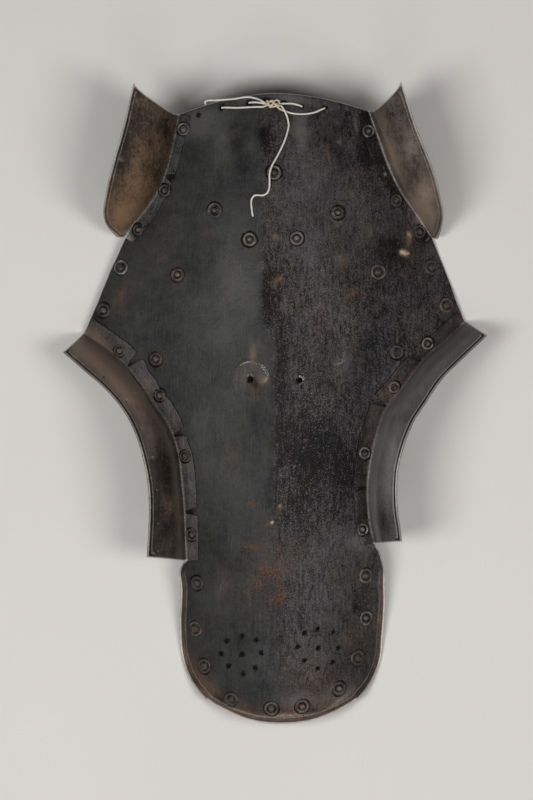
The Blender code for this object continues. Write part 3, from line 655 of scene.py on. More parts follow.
def aged_iron(
    name,
    smooth,
    grained,
    brown,
    lip,
    keeled=False,
    cloudy=1.0,
    grit=1.0,
    groove=0.85,
    speckle=0.12,
    inner=0.22,
    pits=(),
):
    """Blackened sheet iron: a dark and a light colour where smooth, two more where grained, and its brown.

    The mesh's own marks say where it is paler, browner, rusty, grained, worn or soiled, and where painted
    light, shade and highlights lie. Each rim has a bright line, worn bare metal with a painted highlight.
    Where the sheet has a lip, painted shade darkens a groove inside it, told by how far its middle is from
    the rim and by its half width.
    """
    finish = Finish(name)
    sheet = read_sheet(finish, keeled)
    patchy = (sheet.grain * (1 + sheet.clouds * 2.2) * grit).held()
    light = iron_light(sheet, patchy, cloudy, speckle)
    colour, browned, rusted = iron_colour(finish, sheet, light, smooth, grained, brown)
    from_rim = RIM_REACH - sheet.rim
    ragged = from_rim + sheet.mottle * 1.6
    bright = rim_wear_and_highlights(finish, sheet, from_rim, ragged, lip, inner)
    if keeled:
        bright = add_rings(finish, sheet, bright)
    # painted shade in the groove inside the lip, and further on in the pits
    dark = ragged.band(*lip, 0.8) * sheet.lip * groove
    bright, dark = add_pits(finish, bright, dark, pits)
    bright = bright.held()
    colour = finish.mix(dark, colour, GROOVE_SHADE)
    # bright: worn bare metal, and painted highlights on rims, creases, holes, pits and rivet rings
    colour = finish.mix(bright, colour, BARE_METAL_AND_HIGHLIGHT)
    colour = finish.mix(sheet.soil * (0.9 + sheet.rough * 1.4 + sheet.fine), colour, DRIED_SOIL)

    relief = sheet.mottle * 0.5 + sheet.rough * (0.4 + patchy * 0.25)
    relief = relief + sheet.fine * (0.16 + patchy * 0.5) + sheet.brushed * 0.12
    return finish.done(
        Base_Color=colour,
        Roughness=(0.52 + sheet.mottle * 0.3 + rusted * 0.30 + sheet.soil * 0.3 - bright * 0.08).held(),
        Metallic=(0.55 - rusted * 0.5 - sheet.soil * 0.5 - browned * 0.15).held(),
        Normal=finish.bump(relief - rusted * 0.15 - dark * 0.5, IRON_RELIEF),
        Specular_IOR_Level=0.22,
    )


def hole_wall_shade():
    """Painted shade: what blackens the walls of the holes."""
    finish = Finish("hole_wall_shade")
    crumbs = finish.noise(700.0, 3.0, 0.6)
    colour = finish.mix(crumbs, (0.002, 0.002, 0.002), (0.014, 0.011, 0.009))
    return finish.done(Base_Color=colour, Roughness=0.8 + crumbs * 0.15, Specular_IOR_Level=0.1)


def waxed_twine():
    finish = Finish("waxed_twine")
    fibres = finish.noise(1900.0, 3.0, 0.6)
    patches = finish.noise(160.0, 3.0)
    soiled = finish.attribute("soil") * (0.4 + patches)
    # painted shade in the plies' grooves, with darker fibres
    shaded = finish.attribute("groove") * 0.4 + fibres.above(0.5, 0.75) * 0.2
    colour = finish.mix(patches, (0.72, 0.69, 0.62), (0.90, 0.88, 0.84))
    colour = finish.mix(soiled, colour, (0.62, 0.50, 0.22))
    colour = finish.mix(shaded, colour, (0.34, 0.30, 0.23))
    normal = finish.bump(fibres, TWINE_RELIEF)
    return finish.done(Base_Color=colour, Roughness=0.62 + fibres * 0.2, Normal=normal)


# ---------------------------------------------------------------- shape of the face


def between(start, end, start_slope, end_slope, step, t):
    """A value the share t of the way along a smooth step that leaves and arrives with the given slopes."""
    return (
        (2 * t**3 - 3 * t**2 + 1) * start
        + (t**3 - 2 * t**2 + t) * step * start_slope
        + (3 * t**2 - 2 * t**3) * end
        + (t**3 - t**2) * step * end_slope
    )


def through(stations, places):
    """Points on a smooth curve through stations, at places counted in stations."""
    stations = np.array(stations, float)
    steps = np.linalg.norm(np.diff(stations, axis=0), axis=1)
    slopes = np.gradient(stations, np.concatenate(([0.0], np.cumsum(steps))), axis=0)
    points = []
    for place in places:
        i = int(min(max(math.floor(place), 0), len(stations) - 2))
        ends = (stations[i], stations[i + 1], slopes[i], slopes[i + 1])
        points.append(between(*ends, steps[i], place - i))
    return np.array(points)


def soft_step(value, low, high):
    share = np.clip((value - low) / (high - low), 0.0, 1.0)
    return share * share * (3 - 2 * share)


def falling(y, top, foot):
    """0 above one place along the face and 1 below another."""
    return soft_step(-y, -top, -foot)


def hump(away, reach):
    """1 at a place, dying out round it."""
    return np.exp(-((away / reach) ** 2))


VAULT_ALONG = np.array([row[0] for row in VAULT], float)
VAULT_VALUES = np.array([row[1:] for row in VAULT])
VAULT_SLOPES = np.gradient(VAULT_VALUES, VAULT_ALONG, axis=0)


def hammered(x, y):
    """How far hammer work and blows push the plate out or in."""
    ring_x, ring_y, radius, half, rise = CRATER
    height = rise * math.exp(-(((math.hypot(x - ring_x, y - ring_y) - radius) / half) ** 2))
    for waves, depth in HAMMER:
        height += depth * noise.noise(Vector((x * waves, y * waves, waves * HAMMER_SLICE)))
    for dent_x, dent_y, radius, depth in DENTS:
        reach = ((x - dent_x) ** 2 + (y - dent_y) ** 2) / radius**2
        if reach < DENT_END:
            height -= depth * math.exp(-reach * DENT_FALL)
    return height


def smooth_height(x, y):
    i = int(min(max(np.searchsorted(VAULT_ALONG, y) - 1, 0), len(VAULT_ALONG) - 2))
    step = VAULT_ALONG[i + 1] - VAULT_ALONG[i]
    ends = (VAULT_VALUES[i], VAULT_VALUES[i + 1], VAULT_SLOPES[i], VAULT_SLOPES[i + 1])
    keel, slope, roundness = between(*ends, step, (y - VAULT_ALONG[i]) / step)
    across = x - KEEL_DRIFT * falling(y, KEEL_DRIFT_FROM, KEEL_DRIFT_TO)
    return keel - slope * (math.hypot(across, KEEL_BLUNT) - KEEL_BLUNT) - roundness * across**2


def face_height(x, y):
    """The face's height. The hammer work dies out where the sheet comes down to the floor."""
    height = smooth_height(x, y)
    return height + hammered(x, y) * float(soft_step(height - WALL + MIDDLE.z, *LOW_SHEET))


def face_normal(x, y):
    step = 2.0
    fall_x = (smooth_height(x + step, y) - smooth_height(x - step, y)) / (2 * step)
    fall_y = (smooth_height(x, y + step) - smooth_height(x, y - step)) / (2 * step)
    return Vector((-fall_x, -fall_y, 1.0)).normalized()


def on_face(x, y, lift=0.0):
    return Vector((x, y, face_height(x, y))) + face_normal(x, y) * lift


def standing(x, y):
    """The matrix that stands a piece on the face, in the drawing's millimetres."""
    turn = face_normal(x, y).to_track_quat("Z", "X").to_matrix().to_4x4()
    return Matrix.Translation(on_face(x, y)) @ turn


# ---------------------------------------------------------------- meshes


def grid(columns, rows, layer=None):
    """A flat grid of cells, and its vertices by [row][column]."""
    bm = bmesh.new()
    if layer:
        bm.verts.layers.float.new(layer)
    bmesh.ops.create_grid(bm, x_segments=columns, y_segments=rows, size=0.5)
    table = [[None] * (columns + 1) for _ in range(rows + 1)]
    for vertex in bm.verts:
        row = round((0.5 - vertex.co.y) * rows)
        column = round((vertex.co.x + 0.5) * columns)
        table[row][column] = vertex
    return bm, table


def in_frame(name, bm, finish):
    """A shape from the drawing as an object in the part's frame."""
    bmesh.ops.translate(bm, vec=MIDDLE, verts=bm.verts)
    bmesh.ops.scale(bm, vec=(MM, MM, MM), verts=bm.verts)
    made = new_object(name, new_mesh(name, bm))
    made.data.materials.append(finish)
    return made


def piece_from(bm, name, finish, node):
    """A finished piece that stands for a solid."""
    piece = in_frame(name, bm, finish)
    piece.data.shade_smooth()
    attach(piece, "root")
    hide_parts(node)
    return piece


def add_wall(piece):
    """Gives a sheet its thickness on the side away from the viewer, and breaks its sharp edges."""
    wall = piece.modifiers.new("wall", "SOLIDIFY")
    wall.thickness = WALL * MM
    wall.offset = -1.0
    broken = piece.modifiers.new("broken_edges", "BEVEL")
    broken.width = BROKEN_EDGE * MM
    broken.segments = 2
    broken.limit_method = "ANGLE"
    broken.angle_limit = math.radians(SHARP)


def settle(piece):
    """Applies the piece's modifiers."""
    graph = bpy.context.evaluated_depsgraph_get()
    made = bpy.data.meshes.new_from_object(piece.evaluated_get(graph))
    piece.modifiers.clear()
    piece.data = made


def drawing_points(mesh):
    """A mesh's vertices in the drawing's millimetres."""
    points = np.empty(len(mesh.vertices) * 3, np.float32)
    mesh.vertices.foreach_get("co", points)
    return points.reshape(-1, 3) / MM - np.array(MIDDLE)


def write_attribute(mesh, name, values):
    layer = mesh.attributes.new(name, "FLOAT", "POINT")
    layer.data.foreach_set("value", np.asarray(values, np.float32))


def away_from(points, line):
    """How far each point is from the nearest point of a line."""
    tree = KDTree(len(line))
    for i, point in enumerate(line):
        tree.insert(point, i)
    tree.balance()
    return np.array([tree.find(point)[2] for point in points])


def nearness(points, line, reach):
    """1 on a line of points, falling to 0 at reach away from it."""
    return 1 - soft_step(away_from(points, line), 0.0, reach)


def rim_mark(points, line):
    return np.clip(RIM_REACH - away_from(points, line), 0.0, RIM_REACH)


def leave_marks(mesh, marks, more):
    """Writes how pale, brown, rusty, grainy, worn and soiled each vertex is, from its sheet's marks. The
    paleness also carries painted light and shade, and the wear painted highlights.
    """
    points = drawing_points(mesh)
    found = {name: np.zeros(len(points)) for name in MARKS}
    for kind, rows in marks.items():
        for x, y, length, width, turn, amount in rows:
            angle = math.radians(turn)
            across = points[:, :2] - (x, y)
            along = across @ (math.cos(angle), math.sin(angle))
            aside = across @ (-math.sin(angle), math.cos(angle))
            found[kind] += amount * np.exp(-MARK_FALL * ((along / length) ** 2 + (aside / width) ** 2))
    wear = more(points)
    open_share = 1 - wear.pop("shield", 0.0)
    for name, values in wear.items():
        found[name] = found[name] * (open_share if name in ("brown", "rust") else 1.0) + values
    for name, values in found.items():
        write_attribute(mesh, name, values)


# ---------------------------------------------------------------- face plate


def crease_points(guard, count):
    """Points along a guard's crease, from the crest end, with the first one left out."""
    stations = [row[:2] for row in GUARDS[guard]]
    return through(stations, np.linspace(0, len(stations) - 1, count + 1)[1:])


def temple_points(side, count):
    top = np.array(GUARDS[f"ear_guard_{side}"][-1][:2])
    bottom = np.array(GUARDS[f"eye_guard_{side}"][0][:2])
    outward = 1.0 if side == "right" else -1.0
    points = []
    for share in np.linspace(0, 1, count + 1)[1:]:
        point = top + (bottom - top) * share
        point[0] += outward * TEMPLE_BULGE * 4 * share * (1 - share)
        points.append(point)
    return points


def nose_end(share, side):
    """A point on the nose end's outline, from its widest place (0) towards its tip (1)."""
    left, right = NOSE_SIDE_LEFT[-1], NOSE_SIDE_RIGHT[-1]
    centre = (left[0] + right[0]) / 2
    half = (right[0] - left[0]) / 2
    angle = math.radians(NOSE_CORNER) * share
    out = math.cos(angle) ** (2 / NOSE_POWER) * half
    down = math.sin(angle) ** (2 / NOSE_POWER) * NOSE_DEPTH
    return np.array((centre + (out if side == "right" else -out), left[1] - down))


def nose_end_shares():
    """How far each row of the nose end has come, with narrow rows at the rim."""
    rim = [1 - share for share in reversed(RIM_COLUMNS)]
    inner = np.linspace(0, rim[0], PLATE_ROWS["nose end"] - len(rim) + 2)[1:]
    return [*inner, *rim[1:]]


def side_points(side):
    """The plate's edge on one side, one point for each row, from the crest to the nose end."""
    nose_side = NOSE_SIDE_LEFT if side == "left" else NOSE_SIDE_RIGHT
    nose_places = np.linspace(0, len(nose_side) - 1, PLATE_ROWS["nose side"] + 1)[1:]
    points = [np.array(GUARDS[f"ear_guard_{side}"][0][:2], float)]
    points.extend(crease_points(f"ear_guard_{side}", PLATE_ROWS["ear"]))
    points.extend(temple_points(side, PLATE_ROWS["temple"]))
    points.extend(crease_points(f"eye_guard_{side}", PLATE_ROWS["eye"]))
    points.extend(through(nose_side, nose_places))
    points.extend(nose_end(share, side) for share in nose_end_shares())
    inward = -1.0 if side == "right" else 1.0
    for point in points:
        for x, y, reach, depth in NICKS:
            point[0] += inward * depth * math.exp(-(math.dist(point, (x, y)) ** 2) / reach**2)
    return points


def row_bows():
    """How far the middle of each row lies above its ends: up at the crest, down at the nose."""
    ear = PLATE_ROWS["ear"]
    flat = PLATE_ROWS["temple"] + PLATE_ROWS["eye"] + PLATE_ROWS["nose side"]
    bows = [CREST_RISE * (1 - row / ear) for row in range(ear + 1)] + [0.0] * flat
    widest = NOSE_SIDE_LEFT[-1][1]
    for share in nose_end_shares():
        bows.append(widest - NOSE_DEPTH * share - nose_end(share, "left")[1])
    return bows


def column_places():
    """Where the columns stand, from -1 at the left edge to 1 at the right edge."""
    rim = [1 - share for share in RIM_COLUMNS]
    inner = np.linspace(-rim[-1], rim[-1], PLATE_COLUMNS - 2 * len(rim) + 3)[1:-1]
    return [*(-place for place in rim), *inner, *reversed(rim)]


def nose_rim_height(bend_x, bend_y, out):
    """The height of the nose end's rim, a little way out from its bend: a groove and then a slope."""
    depth, begins, ends = NOSE_GROOVE
    clear, rises = NOSE_CLEAR
    rim = face_height(bend_x, bend_y) + NOSE_LIFT * out
    rim -= depth * (1 - math.exp(-out * begins)) * math.exp(-out * ends)
    return rim + clear * (1 - math.exp(-out * rises))


def plate_grid():
    """The plate's upper face with its nose rim bent outwards, and the points of its outline."""
    left, right, bows = side_points("left"), side_points("right"), row_bows()
    places = column_places()
    bm, table = grid(len(places) - 1, len(bows) - 1)
    bend_row = len(bows) - 1 - RIM_COLUMNS.index(RIM_BEND)
    nose_row = PLATE_ROWS["ear"] + PLATE_ROWS["temple"] + PLATE_ROWS["eye"]

    def flat_point(row, place):
        x, y = left[row] + (right[row] - left[row]) * (place + 1) / 2
        y += bows[row] * (1 - abs(place) ** (CREST_POWER if bows[row] > 0 else NOSE_POWER))
        return x, y

    for row in range(len(bows)):
        turned_out = float(soft_step(row, nose_row, nose_row + NOSE_TURN_ROWS))
        for column, place in enumerate(places):
            x, y = flat_point(row, place)
            height = face_height(x, y)
            bend_place = min(max(place, RIM_BEND - 1), 1 - RIM_BEND)
            bend_x, bend_y = flat_point(min(row, bend_row), bend_place)
            out = math.hypot(x - bend_x, y - bend_y)
            if turned_out and out > 0:
                height += (nose_rim_height(bend_x, bend_y, out) - height) * turned_out
            table[row][column].co = (x, y, height)
    outline = [table[0], table[-1], [row[0] for row in table], [row[-1] for row in table]]
    return bm, [vertex.co.copy() for line in outline for vertex in line]


def open_holes():
    """Each open hole's x, y and radius, and the share of it that a near-black wall, painted shade, takes on
    its way through the sheet.
    """
    holes = [
        (x, y, LACING_HOLE, SHADE_WALL_IN_USED if i in LACED else SHADE_WALL_IN_EMPTY)
        for i, (x, y) in enumerate(LACING_HOLES)
    ]
    holes += [(x, y, MIDDLE_HOLE, 0.0) for x, y in MIDDLE_HOLES]
    return holes + [(x, y, BREATHING_HOLE, SHADE_WALL_IN_USED) for x, y in BREATHING_HOLES]


def hole_cutter():
    """All the plate's open holes as one cutter. A near-black wall, painted shade, narrows the small ones
    downwards.
    """
    bm = bmesh.new()
    for x, y, radius, painted_shade in open_holes():
        narrowing = painted_shade * radius * CUTTER_DEPTH / 2 / WALL
        bmesh.ops.create_cone(
            bm,
            cap_ends=True,
            segments=HOLE_SIDES,
            radius1=radius - narrowing,
            radius2=radius + narrowing,
            depth=CUTTER_DEPTH,
            matrix=standing(x, y),
        )
    return in_frame("hole_cutter", bm, hole_wall_shade())


def make_face_plate(finish):
    bm, outline = plate_grid()
    plate = piece_from(bm, "vaulted_plate", finish, "face_plate")
    add_wall(plate)
    cutter = hole_cutter()
    holes = plate.modifiers.new("holes", "BOOLEAN")
    holes.operation = "DIFFERENCE"
    holes.solver = "EXACT"
    holes.material_mode = "TRANSFER"
    holes.object = cutter
    settle(plate)
    bpy.data.objects.remove(cutter, do_unlink=True)
    leave_marks(plate.data, PLATE_MARKS, lambda points: plate_wear(points, outline))


def notch_shade(x, y):
    """Painted shade on the plate at the foot of each notch."""
    painted_shade = np.zeros(len(x))
    for guard, notches in NOTCHES.items():
        inward = NOTCH_SHADE_SHIFT[0] * (1 if guard.endswith("left") else -1)
        for foot in through(GUARDS[guard], notches):
            painted_shade += hump(np.hypot(x - foot[0] - inward, y - foot[1] - NOTCH_SHADE_SHIFT[1]), NOTCH_SHADE)
    return painted_shade


def hole_edges(x, y):
    """Painted shade round the open holes, and a painted highlight on the lower edge of those on the right.
    """
    hole_shade, bright = np.zeros(len(x)), np.zeros(len(x))
    for hole_x, hole_y, radius, _ in open_holes():
        from_edge = np.maximum(np.hypot(x - hole_x, y - hole_y) - radius, 0.0)
        near = hump(from_edge, BREATHING_SHADE if radius == BREATHING_HOLE else HOLE_SHADE)
        below = (x - hole_x) * LIT_SIDE[0] + (y - hole_y) * LIT_SIDE[1]
        lit = soft_step(below, 0.7 * radius, 1.2 * radius) * (hole_x > LIT_HOLES_FROM)
        hole_shade += near * (1 - lit)
        bright += near * lit
    return hole_shade, bright


def plate_wear(points, outline):
    """The wear that follows the plate's form: its grained side, painted shade at the notches and round the
    holes, a painted highlight on the lower edges of the right holes, and the tan nose rim.
    """
    x, y, _ = points.T
    from_border = x - (BORDER_ABOVE + (BORDER_BELOW - BORDER_ABOVE) * falling(y, *BORDER_MOVES))
    middle = falling(y, *BROW) * (1 - falling(y, *NOSE_BRIDGE))
    on_nose = falling(y, *NOSE_RIM_FROM)
    rim = rim_mark(points, outline)
    lip = soft_step(rim, *LIP_SOFT) * on_nose
    right = soft_step(from_border, *BORDER_SOFT)
    hole_shade, bright_edge = hole_edges(x, y)
    # painted shade at the notches' feet darkens the tone
    tone = -0.09 * right * middle + 0.05 * lip - 0.55 * notch_shade(x, y)
    return {
        "grain": 0.70 + 0.24 * middle,
        "side": np.clip(from_border + SIDE_REACH, 0.0, 2 * SIDE_REACH),
        "fade": falling(y, *BORDER_FADES),
        # painted shade round the holes darkens the tone; the painted highlight on the right holes' lower
        # edges lifts it and goes into worn
        "tone": tone - 1.3 * hole_shade + 0.3 * bright_edge,
        "brown": 0.09 * right + 0.50 * lip,
        "rust": 0.06 * lip,
        "worn": 0.14 * bright_edge,
        "rim": rim * (0.9 + 0.1 * on_nose),
        "lip": on_nose,
    }


# ---------------------------------------------------------------- guards


def guard_rows(guard):
    """Places along a guard's table for its rows, and the rows that a notch opens."""
    stations = GUARDS[guard]
    length = [math.dist(a[:2], b[:2]) for a, b in zip(stations, stations[1:], strict=False)]
    cell = sum(length) / len(length)
    foot = NOTCH_FOOT / 2 / cell
    stops = [0.0]
    for notch in NOTCHES[guard]:
        stops += [notch - foot, notch + foot]
    stops.append(len(stations) - 1.0)
    places, opened = [0.0], []
    for i, (start, end) in enumerate(zip(stops, stops[1:], strict=False)):
        if i % 2:
            opened.append(len(places) - 1)
        steps = 1 if i % 2 else math.ceil((end - start) * cell / GUARD_STEP)
        places.extend(np.linspace(start, end, steps + 1)[1:])
    return places, opened, cell


def notch_lean(place, notches, cell):
    """How far a tab's inner edge leans away from the nearest notch, along the crease."""
    lean = 0.0
    for notch in notches:
        away = (place - notch) * cell
        past = abs(away) - NOTCH_FOOT / 2
        if past < NOTCH_REACH:
            lean += math.copysign((1 - max(past, 0.0) / NOTCH_REACH), away)
    return lean * (NOTCH_MOUTH - NOTCH_FOOT) / 2


def bead_lift(from_rim):
    """The groove inside a flange's rim, and the bead on it."""
    lift = 0.0
    for (place, width, height), sign in ((BEAD_GROOVE, -1), (BEAD_RISE, 1)):
        lift += sign * height * math.exp(-(((from_rim - place) / width) ** 2))
    return lift


def guard_section(values, inward, lean_way, sag, bead_share):
    """The points across one row of a guard, from its tab's inner edge over the bend to its rim."""
    x, y, rim_x, rim_y, rise, tab = values
    crease = on_face(x, y, GAP + WALL)
    span = Vector((rim_x - x, rim_y - y, 0.0))
    share, waves = TAB_WOBBLE
    tab *= 1 + share * noise.noise(Vector((x * waves, y * waves, 5.0)))
    length = math.hypot(span.length, rise)

    def on_tab(share):
        foot = Vector((x, y)) + (inward * tab + lean_way) * share
        return on_face(foot.x, foot.y, GAP + WALL)

    def on_flange(share):
        out, up = through(FLARE, [share * (len(FLARE) - 1)])[0]
        hollow = Vector((0.0, -sag * 4 * share * (1 - share), 0.0))
        return crease + span * float(out) + hollow + Vector((0, 0, rise * float(up)))

    bend = min(BEND, tab * BEND_MOST)
    first = min(bend / length * BEND_OUT, BEND_MOST)
    start, end = on_tab(bend / tab), on_flange(first)
    points = [on_tab(share) for share in TAB_COLUMNS]
    for share in BEND_COLUMNS:
        points.append(start.lerp(crease, share).lerp(crease.lerp(end, share), share))
    bead = min(1.0, length / BEAD_ROOM)
    last = 1 - BEAD[0] * bead / length
    points.extend(on_flange(share) for share in np.linspace(first, last, FLANGE_COLUMNS))
    out, up = BEAD_WAY
    outward = Vector((-span.x, -span.y, 0.0)).normalized() * out + Vector((0, 0, up))
    for from_rim in BEAD[1:]:
        flat = on_flange(1 - from_rim * bead / length)
        points.append(flat + outward * bead_lift(from_rim) * bead * bead_share)
    return points


def cut_notches(bm, table, opened, tabs):
    """Takes out the cells between the tabs, in the rows that a notch opens."""
    loose = set()
    for row in opened:
        for column in range(tabs):
            corners = {table[row][column], table[row + 1][column + 1]}
            loose |= {face for face in table[row][column].link_faces if corners <= set(face.verts)}
    bmesh.ops.delete(bm, geom=list(loose), context="FACES")


def make_guard(guard, finish):
    places, opened, cell = guard_rows(guard)
    rows = through(GUARDS[guard], places)
    along = np.gradient(rows[:, :2], axis=0)
    sign = 1.0 if guard.endswith("left") else -1.0
    columns = len(TAB_COLUMNS) + len(BEND_COLUMNS) + FLANGE_COLUMNS + len(BEAD) - 1
    bm, table = grid(columns - 1, len(rows) - 1)
    for i, values in enumerate(rows):
        way = Vector(along[i]).normalized()
        inward = Vector((-way.y, way.x)) * sign
        lean = way * notch_lean(places[i], NOTCHES[guard], cell)
        sag = END_SAG[guard] * (1 - float(soft_step(places[i] * cell, 0.0, END_REACH)))
        section = guard_section(values, inward, lean, sag, BEAD_SHARE[guard])
        for vertex, point in zip(table[i], section, strict=True):
            vertex.co = point
    tabs = len(TAB_COLUMNS) + 1
    cut_notches(bm, table, opened, tabs)
    bmesh.ops.recalc_face_normals(bm, faces=bm.faces)
    on_a_tab = table[len(rows) // 4][1]
    if on_a_tab.link_faces[0].normal.z < 0:
        bmesh.ops.reverse_faces(bm, faces=bm.faces)
    rim = [row[-1].co.copy() for row in table]
    ends = [vertex.co.copy() for row in (table[0], table[-1]) for vertex in row[tabs:]]
    crease = [row[tabs + CREASE_COLUMN].co.copy() for row in table]
    beside_crease = [row[tabs + BAND_COLUMN].co.copy() for row in table]
    tab_face = [vertex.co.copy() for row in table for vertex in row[:tabs]]
    piece = piece_from(bm, f"bent_{guard}", finish, guard)
    add_wall(piece)
    settle(piece)

    def wear(points):
        tone, brown, band, crease_highlight_and_wear, tab_tone, tab_brown = GUARD_WEAR[guard]
        on_tab = soft_step(nearness(points, tab_face, TAB_EDGE), *TAB_SOFT)
        # painted light beside the crease lifts the shade of the steep bend; the crease's bright line is
        # painted highlight and wear
        beside = nearness(points, beside_crease, CREASE_BAND) * (1 - on_tab)
        return {
            "rim": np.maximum(rim_mark(points, rim), rim_mark(points, ends) - END_RIM),
            "lip": nearness(points, rim, LIP_REACH) > 0,
            "worn": nearness(points, crease, CREASE_LINE) * crease_highlight_and_wear,
            "tone": tone + band * beside + (tab_tone - tone) * on_tab,
            "brown": brown + (tab_brown - brown) * on_tab,
            "grain": on_tab,
            "rust": 0.0,
            "shield": on_tab if guard.startswith("ear") else 0.0,
        }

    leave_marks(piece.data, GUARD_MARKS[guard], wear)


# ---------------------------------------------------------------- rivets


def ring_radius(washer, head, place):
    """Where a washer's raised ring is, between its head and its edge."""
    return head + RING_ROOM[0] + (washer - head - sum(RING_ROOM)) * place


def rivet_profile(washer, head, height, place, base, chance):
    """Half section of a rivet and its dished washer, from the head's top to the peened end."""
    washer *= chance.uniform(*WASHER_SPREAD)
    height *= chance.uniform(*HEIGHT_SPREAD)
    dish = chance.uniform(*DISH_SPREAD)
    under = -WALL - 0.15
    ring = ring_radius(washer, head, place)
    return (
        (0.0, base + height),
        (head * 0.42, base + height * 0.96),
        (head * 0.72, base + height * 0.83),
        (head * 0.93, base + height * 0.60),
        (head, base + height * 0.34),
        (head * 0.99, base + 0.30),
        (head + 0.35, base + 0.26),
        (ring - 0.45, base + 0.80 * dish),
        (ring, base + 1.05 * dish),
        (ring + 0.45, base + 0.92 * dish),
        (washer, base + 0.44),
        (washer + 0.15, base + 0.16),
        (washer + WASHER_SHADOW_AND_GRIME, base + 0.07),
        (SHANK, base - 0.08),
        (SHANK, under),
        (PEENED, under),
        (PEENED * 0.8, under - PEENED_HEIGHT * 0.7),
        (0.0, under - PEENED_HEIGHT),
    )


def spun(profile):
    """A half section turned all the way round."""
    bm = bmesh.new()
    points = [bm.verts.new((radius, 0.0, height)) for radius, height in profile]
    lines = [bm.edges.new(pair) for pair in zip(points, points[1:], strict=False)]
    bmesh.ops.spin(
        bm,
        geom=points + lines,
        cent=(0.0, 0.0, 0.0),
        axis=(0.0, 0.0, 1.0),
        angle=math.tau,
        steps=RIVET_STEPS,
        use_merge=True,
    )
    bmesh.ops.remove_doubles(bm, verts=bm.verts, dist=WELD)
    bmesh.ops.recalc_face_normals(bm, faces=bm.faces)
    return bm


def dent_rivet(bm, head, seed, off):
    """Beats a rivet out of round, and its head a little to one side."""

    def beaten(amount, waves, flat, place):
        return amount * noise.noise(flat * waves + place)

    for vertex in bm.verts:
        flat = Vector((vertex.co.x, vertex.co.y, 0.0))
        out = beaten(*OUT_OF_ROUND, flat, seed)
        up = beaten(*UNEVEN, flat, -seed)
        if flat.length < head * 1.02 and vertex.co.z > 0:
            up += beaten(*HEAD_UNEVEN, flat, seed * 2)
            vertex.co += off
        vertex.co += flat.normalized() * out + Vector((0.0, 0.0, up))


def lay_on_face(vertices, x, y):
    """Bends a washer from the plane at its rivet to the face under it."""
    normal, middle = face_normal(x, y), on_face(x, y)
    for vertex in vertices:
        flat = vertex.co - middle
        plane = middle.z - (normal.x * flat.x + normal.y * flat.y) / normal.z
        vertex.co.z += face_height(vertex.co.x, vertex.co.y) - plane


def make_rivet(node, x, y, looks, on_a_tab, finishes, chance):
    size = "small" if on_a_tab else "large" if node == LARGE_RIVET else "plain"
    washer, head, height = RIVET_SIZES[size]
    head_share, place, *shades = looks
    head *= head_share
    base = GAP + WALL if on_a_tab else 0.0
    bm = spun(rivet_profile(washer, head, height, place, base, chance))
    seed = Vector((chance.uniform(0, 90), chance.uniform(0, 90), 0.0))
    off = Vector((chance.uniform(-HEAD_OFF, HEAD_OFF), chance.uniform(-HEAD_OFF, HEAD_OFF), 0.0))
    dent_rivet(bm, head, seed, off)
    lean = Matrix.Rotation(math.radians(chance.uniform(-LEAN, LEAN)), 4, "X")
    washers = [v for v in bm.verts if v.co.z > 0 and math.hypot(v.co.x, v.co.y) > head * 1.05]
    bmesh.ops.transform(bm, matrix=standing(x, y) @ lean, verts=bm.verts)
    lay_on_face(washers, x, y)
    finish = finishes[chance.randrange(len(finishes))]
    piece = piece_from(bm, f"hammered_{node}", finish, node)
    ring = ring_radius(washer, head, place)
    mark_rivet(piece.data, Vector((x, y)), washer, head, ring, shades, seed)


def make_rivets(finishes):
    chance = random.Random(RIVET_CHANCE)
    for name, rows in RIVETS.items():
        on_a_tab = "_ear_" in name or "_eye_" in name
        for count, (x, y, *looks) in enumerate(rows, 1):
            make_rivet(f"{name}_{count}", x, y, looks, on_a_tab, finishes, chance)


def mark_rivet(mesh, middle, washer, head, ring_at, shades, seed):
    """A rivet's pale head, its ring pale with painted highlight and wear and broken into arcs, painted shade
    in the gap between them, and painted shadow with grime round the washer.
    """
    ring_highlight_and_wear, head_pale, gap_shade, brown = shades
    flat = drawing_points(mesh)[:, :2] - middle
    away = np.hypot(*flat.T)
    ways = flat / np.maximum(away, 0.01)[:, None]
    arcs = 1 + 1.5 * np.array([noise.noise(Vector((*way, 0.0)) * 1.2 + seed) for way in ways])
    gaps = 1 + 1.1 * np.array([noise.noise(Vector((*way, 9.0)) * 1.4 + seed) for way in ways])
    # the ring's pale arcs are painted highlight and wear; the groove round the head gets painted shade
    ring = hump(away - ring_at, 0.6) * arcs
    edge = hump(away - head * 0.82, 0.55) * (2 - gaps)
    groove = hump(away - head - 0.3, 0.6) * gaps
    # painted shadow round the washer's edge, with grime, lying on its dark skirt
    painted_shade = soft_step(away, washer - 0.3, washer + 0.3) * gaps
    top = 1 - soft_step(away, head * 0.5, head)
    outer = soft_step(away, ring_at + 0.5, washer)
    tone = top * head_pale * 0.9 + edge * 0.10 + ring * ring_highlight_and_wear * 1.5
    tone = tone - groove * gap_shade * 1.2 - painted_shade * 0.9 - outer * 0.14
    worn = top * max(head_pale, 0.0) * 0.15 + edge * 0.05 + ring * ring_highlight_and_wear * 0.85
    write_attribute(mesh, "tone", tone)
    write_attribute(mesh, "worn", worn * (1 - np.clip(painted_shade, 0, 1)))
    write_attribute(mesh, "brown", brown * (0.8 + top * 0.8))
    write_attribute(mesh, "grain", np.full(len(away), 0.4))


# ---------------------------------------------------------------- string


def passage(hole, come_from, go_to, down=True):
    """A cord's stations through a hole: round a quarter turn, through the wall, and round another."""
    hole = Vector(hole)
    first, last = (0.0, BEHIND) if down else (BEHIND, 0.0)
    sense = -1.0 if down else 1.0
    angles = [math.radians(angle) for angle in (0, 45, 90)]
    stations = []
    turns = ((come_from, first, sense, angles), (go_to, last, -sense, angles[::-1]))
    for ahead, level, way, turn in turns:
        aside = (Vector(ahead) - hole).normalized() * TURN
        for angle in turn:
            place = hole + aside * (1 - math.sin(angle))
            stations.append((*place, level + way * TURN * (1 - math.cos(angle))))
    return stations


